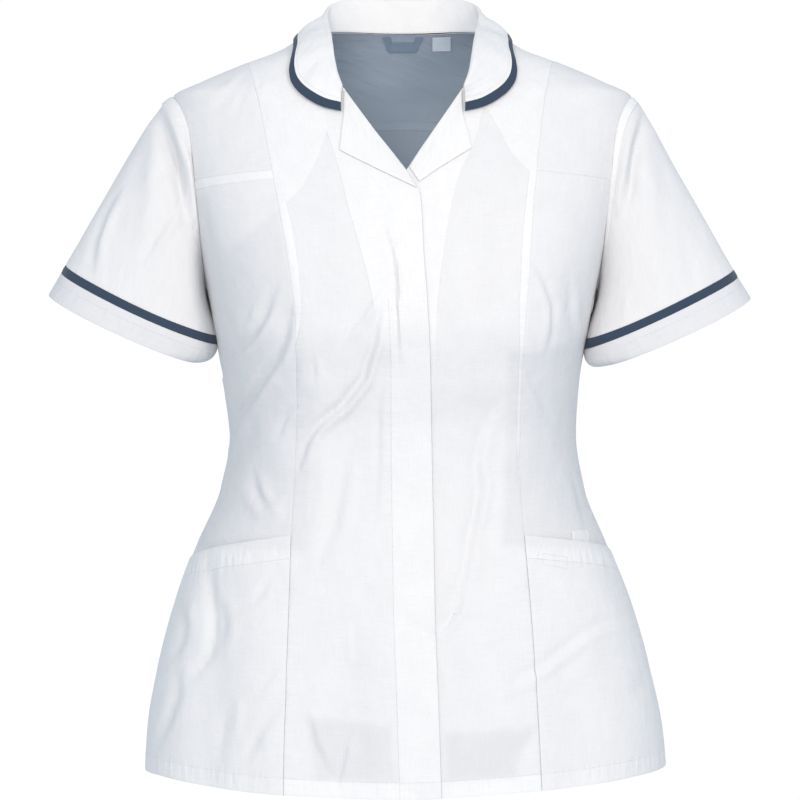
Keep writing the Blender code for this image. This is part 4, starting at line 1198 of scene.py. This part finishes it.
def depth_inside(places, corners):
    """Distance in from an outline's nearest side, below zero outside it."""
    corners = np.array(corners, float)
    nearest = np.full(places.shape[:-1], np.inf)
    inside = np.zeros(places.shape[:-1], bool)
    for start, end in zip(corners, np.roll(corners, -1, axis=0)):
        side = end - start
        _, offset = off_line(places, start, side)
        nearest = np.minimum(nearest, np.linalg.norm(offset, axis=-1))
        spans = (start[1] > places[..., 1]) != (end[1] > places[..., 1])
        level = (places[..., 1] - start[1]) / (side[1] or 1e-9)
        inside ^= spans & (places[..., 0] < start[0] + level * side[0])
    return np.where(inside, nearest, -nearest)


# Painted shade where single cloth lets the dark inside show, on the front only.
def show_through_shade(points):
    total = np.zeros(points.shape[:-1])
    for darker, soft, *corners in SHOW_THROUGH_SHADE_AREAS:
        depth = depth_inside(points[..., [0, 2]], corners)
        total = total + darker / (1 + np.exp(-depth / soft)) * (points[..., 1] < 0)
    return total


def dress_body_piece(node, places, lift, bands, sewn, gap=SEAM_GAP / 2):
    """A shell on the body with its fine folds. A band is an edge, its width and its strength,
    or a function of the points and distances. Returns its outer grid, normals and distances."""
    angles, heights = places[..., 0], places[..., 1]
    normals = ring_normal(angles, heights)
    bare = body_point(angles, heights, lift)
    distances = edge_distances(bare)
    rise = fine_rise(bare, FINE_FOLDS) + edge_roll(distances)
    points = held_back(bare, normals, gap) + normals * rise[..., None]
    fields = []
    for band in bands:
        if callable(band):
            fields.extend(band(bare, distances))
        else:
            edge, width, strength = band
            fields.append((distances[edge] - width, strength))
    inner = points - normals * WALL
    sewn = puckers(distances["first"].shape, distances, sewn)
    # Painted shade: where the dark inside shows through single cloth, and on the inner face.
    thin_shell(node, points, inner, "white", fields, show_through_shade(points), INSIDE_PAINTED_SHADE, sewn)
    return points, normals, distances


STITCH_PITCH, STITCH_LENGTH, STITCH_WIDTH, STITCH_RISE = 3.1, 2.3, 0.42, 0.2
# One stitch as a bead of seven corners: along, across and out, in shares of its sizes.
BEAD = (
    (-0.5, 0, 0), (-0.3, -0.5, 0.6), (-0.3, 0.5, 0.6), (0.3, -0.5, 0.6), (0.3, 0.5, 0.6),
    (0.5, 0, 0), (0, 0, -0.8),
)
BEAD_FACES = (
    (0, 1, 2), (1, 3, 4, 2), (3, 5, 4), (0, 6, 1), (1, 6, 3), (3, 6, 5), (2, 6, 0), (4, 6, 2),
    (5, 6, 4),
)


def line_along(points, normals, distances, edge, depth):
    """The line on a grid that lies depth in from one of its edges, and its normals."""
    grid = distances[edge]
    if edge in ("bottom", "top"):
        grid, points, normals = grid.T, points.swapaxes(0, 1), normals.swapaxes(0, 1)
    if edge in ("last", "top"):
        grid, points, normals = grid[:, ::-1], points[:, ::-1], normals[:, ::-1]
    line, facing = [], []
    for row, run, out in zip(grid, points, normals):
        if depth <= row[-1]:
            line.append([np.interp(depth, row, run[:, k]) for k in range(3)])
            facing.append([np.interp(depth, row, out[:, k]) for k in range(3)])
    return np.array(line), unit(np.array(facing))


def stitch_run(line, facing):
    """Beads along a line, as points and faces."""
    lengths = run_lengths(line[None], 1)[0]
    middles = np.arange(STITCH_PITCH / 2, lengths[-1], STITCH_PITCH)

    def at(places, values):
        return np.stack([np.interp(places, lengths, values[:, k]) for k in range(3)], -1)

    out = unit(at(middles, facing))
    way = unit(at(middles + 0.8, line) - at(middles - 0.8, line))
    side = np.cross(out, way)
    axes = np.stack([way * STITCH_LENGTH, side * STITCH_WIDTH, out * STITCH_RISE], 1)
    points = (at(middles, line) + out * 0.04)[:, None] + np.array(BEAD) @ axes
    starts = np.arange(len(middles)) * len(BEAD)
    faces = [tuple(start + k for k in face) for start in starts for face in BEAD_FACES]
    return points.reshape(-1, 3), faces


def stitching(node, runs):
    """All the stitches on one piece, as one object that goes with its cloth."""
    points, faces = [], []
    for line, facing in runs:
        made, quads = stitch_run(line, facing)
        start = sum(len(part) for part in points)
        points.append(made)
        faces.extend(tuple(start + k for k in face) for face in quads)
    mesh = bpy.data.meshes.new("stitching_" + node)
    mesh.from_pydata((np.concatenate(points) * MM).tolist(), [], faces)
    mesh.materials.append(MATERIALS["thread"])
    mesh.shade_smooth()
    thread = bpy.data.objects.new("stitching_" + node, mesh)
    bpy.context.scene.collection.objects.link(thread)
    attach(thread, "root")
    STITCHES[node] = thread


HEM_BAND, YOKE_BAND, PLACKET_BAND, POCKET_BAND = 15.5, 9.0, 37.5, 21.0
PUCKER = 0.4
HEM_PUCKER = HEM_BAND - 4
# Where the placket's stitches begin, and how far in stitches lie on the back yoke and collar.
PLACKET_STITCH_TOP, YOKE_STITCH, COLLAR_STITCH, NECK_STITCH = -215, 2.5, 3.5, 1.0
# The second layer behind each front. It shows everywhere but in a wedge of single cloth below
# the collar: height, and x of the wedge's outer and inner edge, for each side.
WEDGE = {
    RIGHT: (
        (-20, -50.0, -80.0), (-62, -70.0, -70.0), (-86, -77.0, -62.0), (-101, -84.0, -57.5),
        (-118, -93.0, -53.5), (-129, -105.0, -51.0), (-134, -150.0, -49.5),
        (-164, -150.0, -41.0), (-192, -150.0, -33.0), (-221, -150.0, -27.0),
        (-270, -150.0, -18.0),
    ),
    LEFT: (
        (-20, 66.0, 78.0), (-41, 77.0, 73.0), (-62, 88.0, 69.0), (-85, 100.0, 60.0),
        (-99, 113.0, 53.0), (-103, 150.0, 51.5), (-118, 150.0, 47.0), (-141, 150.0, 42.0),
        (-164, 150.0, 38.0), (-192, 150.0, 34.0), (-219, 150.0, 31.0), (-254, 150.0, 29.5),
        (-330, 150.0, 27.0),
    ),
}
# Height at which the layer starts to fade from view, and where it is gone.
WEDGE_FADE = {RIGHT: (-220.0, -262.0), LEFT: (-245.0, -330.0)}
# The panel seam's double edge: height and width, below zero where it no longer shows.
SEAM_BAND = {
    RIGHT: ((-420, -3), (-275, -3), (-260, 0), (-246, 4.5), (-218, 8.5), (-180, 10), (20, 10)),
    LEFT: ((-420, -3), (-400, 0), (-345, 3.5), (-263, 5), (-218, 8.5), (-173, 10), (20, 10)),
}
FACING_SHOWS, PLACKET_SHOWS = 0.7, 0.45
# Level distance to a wedge's slanted edge, as distance straight across to it.
ACROSS_SLANT = 0.93
# Wider than any piece, for a piece that is double all over.
WHOLE_PIECE = 200.0


def layer_behind(side):
    """The bands of a front's facing and of the allowance at its panel seam."""
    levels, outer, inner = zip(*WEDGE[side][::-1])
    heights, widths = zip(*SEAM_BAND[side])
    start, end = WEDGE_FADE[side]

    def fields(points, distances):
        x, z = points[..., 0], points[..., 2]
        to_outer = (x - np.interp(z, levels, outer)) * -side
        to_inner = (np.interp(z, levels, inner) - x) * -side
        wedge = ACROSS_SLANT * np.minimum(to_outer, to_inner)
        shows = FACING_SHOWS * np.clip((z - end) / (start - end), 0, 1)
        wedge = np.where(shows > 0, wedge, NO_BAND)
        seam = distances["first"] - np.interp(z, heights, widths)
        return (wedge, shows), (seam, np.ones(z.shape))

    return fields


def dress_front(side, word):
    places = rimmed(front(side))
    bands = [layer_behind(side)]
    sewn = [("first", 0, PUCKER * 1.2), ("bottom", HEM_PUCKER, PUCKER * 1.6)]
    if side == RIGHT:
        bands.append(("last", PLACKET_BAND, PLACKET_SHOWS))
        sewn.append(("last", PLACKET_BAND, PUCKER * 0.7))
    bands.append(("bottom", HEM_BAND, 0.9))
    lift = overlap_lift(places, side)
    grid = dress_body_piece("front_" + word, places, lift, bands, sewn)
    runs = [line_along(*grid, "bottom", HEM_BAND)]
    if side == RIGHT:
        line, facing = line_along(*grid, "last", PLACKET_BAND)
        kept = line[:, 2] < PLACKET_STITCH_TOP
        runs.append((line[kept], facing[kept]))
    stitching("front_" + word, runs)


def dress_sides(side, word):
    bands = [("top", YOKE_BAND, 0.8)] if side == RIGHT else []
    sewn = [("first", 0, PUCKER * 0.6), ("last", 0, PUCKER * 0.6), ("top", 0, PUCKER * 0.5)]
    places = rimmed(side_front(side))
    dress_body_piece("side_front_" + word, places, 0.0, bands, sewn)
    sewn = [("first", 0, PUCKER * 0.6), ("last", 0, PUCKER * 0.4), ("top", 0, PUCKER * 0.6)]
    dress_body_piece("front_yoke_" + word, rimmed(front_yoke(side)), 0.0, [], sewn)


def dress_back():
    bands = [("bottom", HEM_BAND, 0.8), ("top", YOKE_BAND, 0.8)]
    sewn = [("bottom", HEM_PUCKER, PUCKER), ("top", 0, PUCKER * 0.6)]
    sewn += [("first", 0, PUCKER * 0.6), ("last", 0, PUCKER * 0.6)]
    grid = dress_body_piece("back", rimmed(back()), 0.0, bands, sewn)
    stitching("back", [line_along(*grid, "bottom", HEM_BAND)])
    sewn = [("bottom", 0, PUCKER * 0.6)]
    places = rimmed(back_yoke())
    grid = dress_body_piece("back_yoke", places, 0.0, [], sewn)
    stitching("back_yoke", [line_along(*grid, "bottom", YOKE_STITCH)])


# Stitched outlines on the mouth of the left pocket: x and height of their corners.
PEN_STITCHES = (
    ((126.0, -439.5), (120.0, -456.5)),
    ((127.0, -448.0), (150.0, -452.0), (149.5, -462.0), (127.0, -457.5), (127.0, -448.0)),
)


def on_grid(points, normals, spots):
    """Where lines drawn by x and height lie on a grid."""
    flat, facing = points.reshape(-1, 3), normals.reshape(-1, 3)
    line, out = [], []
    for x, z in spots:
        near = np.argmin((flat[:, 0] - x) ** 2 + (flat[:, 2] - z) ** 2)
        at, way = flat[near], facing[near]
        y = at[1] - (way[0] * (x - at[0]) + way[2] * (z - at[2])) / way[1]
        line.append((x, y, z))
        out.append(way)
    return np.array(line), np.array(out)


def dress_pocket(side, word):
    places = rimmed(side_front(side)[: POCKET_STEPS + 1])
    bands = [("top", POCKET_BAND, 0.35), ("bottom", HEM_BAND, 0.3)]
    sewn = [("top", POCKET_BAND - 6, PUCKER * 2.6), ("bottom", HEM_PUCKER, PUCKER * 2.4)]
    sewn += [("first", 0, PUCKER * 0.8), ("last", 0, PUCKER * 0.6)]
    lift = pocket_lift(places)
    grid = dress_body_piece("pocket_" + word, places, lift, bands, sewn, gap=0.1)
    runs = [line_along(*grid, "top", POCKET_BAND), line_along(*grid, "bottom", HEM_BAND)]
    if side == LEFT:
        for corners in PEN_STITCHES:
            corners = np.array(corners)
            steps = [np.linspace(a, b, 12) for a, b in zip(corners[:-1], corners[1:])]
            runs.append(on_grid(*grid[:2], np.concatenate(steps)[::2]))
    stitching("pocket_" + word, runs)


def dress_lapel(side, word):
    places = rimmed(lapel(side))
    lift = overlap_lift(places, side) + WALL + LAPEL_GAP
    sewn = [("bottom", 0, PUCKER * 0.3), ("last", 0, PUCKER * 0.4)]
    bands = [("first", WHOLE_PIECE, 1.0)]
    dress_body_piece("lapel_" + word, places, lift, bands, sewn, gap=0.0)


# The last is painted shade, laid over the whole cuff.
SEAM_ALLOWANCE, STITCH_ON_CUFF, CUFF_PAINTED_SHADE = 8.0, 17.0, 0.06
ALLOWANCE_SHOWS = {RIGHT: 0.35, LEFT: 1.0}
TRIM_ROWS, TRIM_CROWN = 6, 0.3


def with_sleeve_folds(grid, normals):
    return grid + normals * fine_rise(grid, SLEEVE_FOLDS)[..., None]


def dress_sleeve(side, word):
    """The sleeve from the armhole to its trim. Returns the normals of its last row."""
    turn = sleeve_turns()
    shares = [0.0015, 0.006, 0.012, *np.linspace(0.02, 0.99, SLEEVE_STEPS), 0.996, 1.0]
    grid, facing = sleeve_grid(turn, shares, side)
    normals = tube_normals(grid)
    across, ahead = np.cos(np.radians(turn)), np.sin(np.radians(turn))
    top = ease(across, -0.1, 0.5)[:, None]
    normals[0] = unit((1 - top) * normals[0] + top * facing)
    distances = edge_distances(grid)
    rise = line_folds(grid, SLEEVE_FOLDS) * ease(np.array(shares), -0.015, 0.045)[:, None]
    rise = rise + cloth_drift(grid) + edge_roll(distances, ("top",))
    grid = grid + normals * rise[..., None]
    in_front = ease(ahead + across, 0.0, 0.5)
    band = distances["bottom"] - SEAM_ALLOWANCE * (2 * in_front[None] - 1)
    bands = [(band, np.full(band.shape, ALLOWANCE_SHOWS[side]))]
    sewn = puckers(band.shape, distances, [("top", 2, PUCKER * 0.6), ("bottom", 0, PUCKER)])
    inner = grid - normals * WALL
    thin_shell("sleeve_" + word, grid, inner, "white", bands, sewn=sewn, wraps=True)
    return normals[-1]


def dress_cuff(side, word):
    """The band below the trim. Returns the normals of its first row."""
    places = [CUFF_BAND, CUFF_BAND - 0.5, CUFF_BAND - 1.2]
    places = [*places, *np.linspace(CUFF_BAND - 2.5, 2.5, CUFF_STEPS), 1.6, 1.0001]
    grid, _ = sleeve_grid(sleeve_turns(), places, side)
    normals = tube_normals(grid)
    distances = edge_distances(grid)
    grid = with_sleeve_folds(grid, normals)
    grid = grid + normals * edge_roll(distances, ("bottom", "top"))[..., None]
    # Painted shade over the whole cuff.
    painted_shade = np.full(grid.shape[:2], CUFF_PAINTED_SHADE)
    sewn = puckers(painted_shade.shape, distances, [("top", 10, PUCKER * 1.4)])
    inner = grid - normals * WALL
    thin_shell("cuff_" + word, grid, inner, "white", painted_shade=painted_shade, sewn=sewn, wraps=True)
    return normals[0]


def dress_sleeve_trim(side, word, above, below):
    """The strip between sleeve and cuff, with their normals above and below it."""
    places = np.linspace(CUFF_BAND + TRIM_BAND, CUFF_BAND + BAND_GAP, TRIM_ROWS)
    trim, _ = sleeve_grid(sleeve_turns(), places, side)
    share = np.linspace(0, 1, TRIM_ROWS)[:, None, None]
    normals = unit((1 - share) * above + share * below)
    trim = with_sleeve_folds(trim, normals) + normals * TRIM_CROWN * np.sin(np.pi * share)
    thin_shell("sleeve_trim_" + word, trim, trim - normals * TRIM_WALL, "navy", wraps=True)


def stitch_cuff(side, word):
    line, _ = sleeve_grid(sleeve_turns(), (STITCH_ON_CUFF, STITCH_ON_CUFF - 1), side)
    out = tube_normals(line)
    line = with_sleeve_folds(line, out)
    stitching("cuff_" + word, [(line[0], out[0])])


def smooth_between(rows, factor):
    """More rows between those of a grid, on a smooth curve through them."""
    before = np.concatenate([2 * rows[:1] - rows[1:2], rows[:-1]])
    after = np.concatenate([rows[1:], 2 * rows[-1:] - rows[-2:-1]])
    slopes = (after - before) / 2
    shares = np.arange(factor) / factor
    made = [hermite(t, rows[:-1], slopes[:-1], rows[1:], slopes[1:]) for t in shares]
    dense = np.stack(made, 1).reshape(-1, *rows.shape[1:])
    return np.concatenate([dense, rows[-1:]])


def finer(grid, down, across):
    """The grid with more rows and more columns, both on smooth curves."""
    return smooth_between(smooth_between(grid, down).swapaxes(0, 1), across).swapaxes(0, 1)


COLLAR_ACROSS, COLLAR_DOWN = 8, 5
# How high the creases across the collar are where it turns, and the crown of its navy strip.
COLLAR_CREASE, COLLAR_TRIM_CROWN = 0.35, 0.35


def collar_creases(points):
    x, y, z = points[..., 0], points[..., 1], points[..., 2]
    around = np.arctan2(x, -y) * 60
    wave = np.sin(around / 6.5 + z / 14 + 1.8 * np.sin(around / 17 + z / 21))
    wave = wave + 0.6 * np.sin(around / 3.4 - z / 9 + 2.0 * np.sin(around / 11))
    return COLLAR_CREASE * wave * (0.45 + 0.55 * np.sin(around / 23 + 0.6) ** 2)


def dress_collar():
    whole = finer(collar_grid(), COLLAR_DOWN, COLLAR_ACROSS)
    normals = sheet_normals(whole)
    seam = len(whole) - 1 - COLLAR_DOWN
    outer_row = whole[seam] - whole[seam].mean(axis=0)
    normals = normals if np.sum(normals[seam] * outer_row) > 0 else -normals
    fade = ease(run_lengths(whole, 0), 2, 14)
    whole = whole + normals * ((collar_creases(whole) + cloth_drift(whole)) * fade)[..., None]
    half = normals * COLLAR_WALL / 2
    gap = unit(whole[seam + 1] - whole[seam]) * SEAM_GAP / 2
    collar = np.concatenate([whole[:seam], (whole[seam] - gap)[None]])
    cut = slice(None, seam + 1)
    double = [(np.full(collar.shape[:2], -5.0), np.ones(collar.shape[:2]))]
    thin_shell("collar", collar + half[cut], collar - half[cut], "white", double)
    grid = (collar + half[cut], normals[cut], edge_distances(collar))
    runs = [line_along(*grid, "top", COLLAR_STITCH), line_along(*grid, "bottom", NECK_STITCH)]
    stitching("collar", runs)
    trim = np.concatenate([(whole[seam] + gap)[None], whole[seam + 1 :]])
    crown = COLLAR_TRIM_CROWN * np.sin(np.linspace(0, math.pi, len(trim)))[:, None, None]
    trim = trim + normals[seam:] * crown
    thin_shell("collar_trim", trim + half[seam:], trim - half[seam:], "navy")


def dress_small():
    fine = rimmed(finer(pen_pocket(), 5, 5))
    angles, heights = fine[..., 0], fine[..., 1]
    normals = ring_normal(angles, heights)
    points = body_point(angles, heights, PEN_WALL + LAYER_GAP * 0.5)
    rise = fine_rise(points, FINE_FOLDS) + edge_roll(edge_distances(points))
    points = points + normals * rise[..., None]
    thin_shell("pen_pocket", points, points - normals * PEN_WALL * 0.6, "white")
    grids = (("hanger_loop", loop_grid(), "slate"), ("size_tab", tab_grid(), "grey"))
    near, far = WALL + INSIDE_GAP, WALL + INSIDE_GAP + TAPE_WALL * 0.7
    for node, grid, finish in grids:
        fine = finer(grid, 4, 4)
        thin_shell(node, inside_points(fine, near), inside_points(fine, far), finish)


# What each cloth piece was cut to, in metres: width, length and area as it shows, round the
# whole tube on a sleeve or cuff. Then what it is sewn to or lies on.
CUTS = {
    "front_right": (0.144, 0.793, 0.0906, ["back_yoke", "side_front_right"]),
    "front_left": (0.147, 0.791, 0.0895, ["back_yoke", "side_front_left"]),
    "side_front_right": (0.202, 0.588, 0.0902, ["front_yoke_right", "back"]),
    "side_front_left": (0.188, 0.584, 0.0822, ["front_yoke_left", "back"]),
    "front_yoke_right": (0.093, 0.162, 0.0114, ["back_yoke", "front_right"]),
    "front_yoke_left": (0.089, 0.161, 0.0117, ["back_yoke", "front_left"]),
    "pocket_right": (0.203, 0.237, 0.0409, ["side_front_right"]),
    "pocket_left": (0.190, 0.234, 0.0380, ["side_front_left"]),
    "lapel_right": (0.042, 0.118, 0.0024, ["front_right"]),
    "lapel_left": (0.044, 0.096, 0.0023, ["front_left"]),
    "sleeve_right": (0.464, 0.184, 0.0458, ["front_yoke_right", "back_yoke"]),
    "sleeve_left": (0.463, 0.184, 0.0445, ["front_yoke_left", "back_yoke"]),
    "cuff_right": (0.441, 0.034, 0.0108, ["sleeve_right"]),
    "cuff_left": (0.440, 0.036, 0.0107, ["sleeve_left"]),
    "back": (0.607, 0.651, 0.2998, ["back_yoke"]),
    "back_yoke": (0.512, 0.196, 0.0459, ["front_yoke_right", "front_yoke_left"]),
    "collar": (0.587, 0.097, 0.0306, ["back_yoke", "front_right", "front_left"]),
    "pen_pocket": (0.028, 0.039, 0.0009, ["side_front_left"]),
    "hanger_loop": (0.0104, 0.062, 0.0004, ["back_yoke"]),
    "size_tab": (0.0194, 0.0185, 0.0003, ["back_yoke"]),
}
# The navy strip that is sewn to a piece.
STRIPS = {
    "cuff_right": "sleeve_trim_right", "cuff_left": "sleeve_trim_left", "collar": "collar_trim",
}


def declare_cloth():
    for node, (width, length, area, rests_on) in CUTS.items():
        sewn_on = [STITCHES[node]] if node in STITCHES else []
        if node in STRIPS:
            sewn_on.append(PIECES[STRIPS[node]])


def dress():
    for side, word in ((RIGHT, "right"), (LEFT, "left")):
        dress_front(side, word)
        dress_sides(side, word)
        dress_pocket(side, word)
        dress_lapel(side, word)
        above, below = dress_sleeve(side, word), dress_cuff(side, word)
        dress_sleeve_trim(side, word, above, below)
        stitch_cuff(side, word)
    dress_back()
    dress_collar()
    dress_small()


LAMP_COLOUR, THROUGH_COLOUR = (1.0, 0.88, 0.78), (1.0, 0.86, 0.76)
LIT_MIDDLE = (0.0, 0.0, -0.33)
BACKDROP = (1.02, 1.02, 1.02)
ROOM_LOW, ROOM_HIGH = (0.58, 0.66, 0.74), (0.62, 0.70, 0.78)


def lamp_at(name, kind, place, power, colour):
    lamp = bpy.data.lights.new(name, kind)
    lamp.energy, lamp.color = power, colour
    light = bpy.data.objects.new(name, lamp)
    light.location = place
    bpy.context.scene.collection.objects.link(light)
    return light


def area_light(name, place, size, power):
    """A rectangular lamp that faces the middle of the garment."""
    light = lamp_at(name, "AREA", place, power, LAMP_COLOUR)
    light.data.shape = "RECTANGLE"
    light.data.size, light.data.size_y = size
    way = Vector(LIT_MIDDLE) - Vector(place)
    light.rotation_euler = way.to_track_quat("-Z", "Y").to_euler()


def light_the_studio():
    """A white backdrop behind the garment, a dim blue-grey room, two soft lamps in front and a
    weak one inside, for the light that comes through the cloth."""
    world = bpy.data.worlds.new("studio")
    bpy.context.scene.world = world
    world.use_nodes = True
    tree = world.node_tree
    direction = new_node(tree, "ShaderNodeNewGeometry").outputs["Position"]
    split = new_node(tree, "ShaderNodeSeparateXYZ", {"Vector": direction}).outputs
    upward, behind = mapped(tree, split["Z"], -0.3, 0.9), mapped(tree, split["Y"], 0.72, 0.92)
    room = mixed(tree, upward, (*ROOM_LOW, 1.0), (*ROOM_HIGH, 1.0))
    colour = mixed(tree, behind, room, (*BACKDROP, 1.0))
    tree.links.new(colour, tree.nodes["Background"].inputs["Color"])
    area_light("lamp_front", (-0.9, -4.8, 0.6), size=(1.6, 2.0), power=102)
    area_light("lamp_right", (2.5, -4.2, 0.9), size=(1.2, 1.6), power=72)
    inner = lamp_at("light_through_the_cloth", "POINT", (0.0, -0.01, -0.1), 0.18, THROUGH_COLOUR)
    inner.data.shadow_soft_size = 0.03


CAMERA_PLACE, FRAME_WIDTH, SENSOR_WIDTH = (-0.0028, -3.2, -0.3083), 0.752, 36.0


def place_camera():
    camera = bpy.data.cameras.new("photo_camera")
    camera.sensor_width = SENSOR_WIDTH
    camera.lens = SENSOR_WIDTH * -CAMERA_PLACE[1] / FRAME_WIDTH
    eye = bpy.data.objects.new("photo_camera", camera)
    eye.location = CAMERA_PLACE
    eye.rotation_euler = (math.radians(90), 0, 0)
    bpy.context.scene.collection.objects.link(eye)
    bpy.context.scene.camera = eye


dress()
declare_cloth()
place_camera()
light_the_studio()
view = bpy.context.scene.view_settings
view.view_transform = "Standard"
view.look = "None"
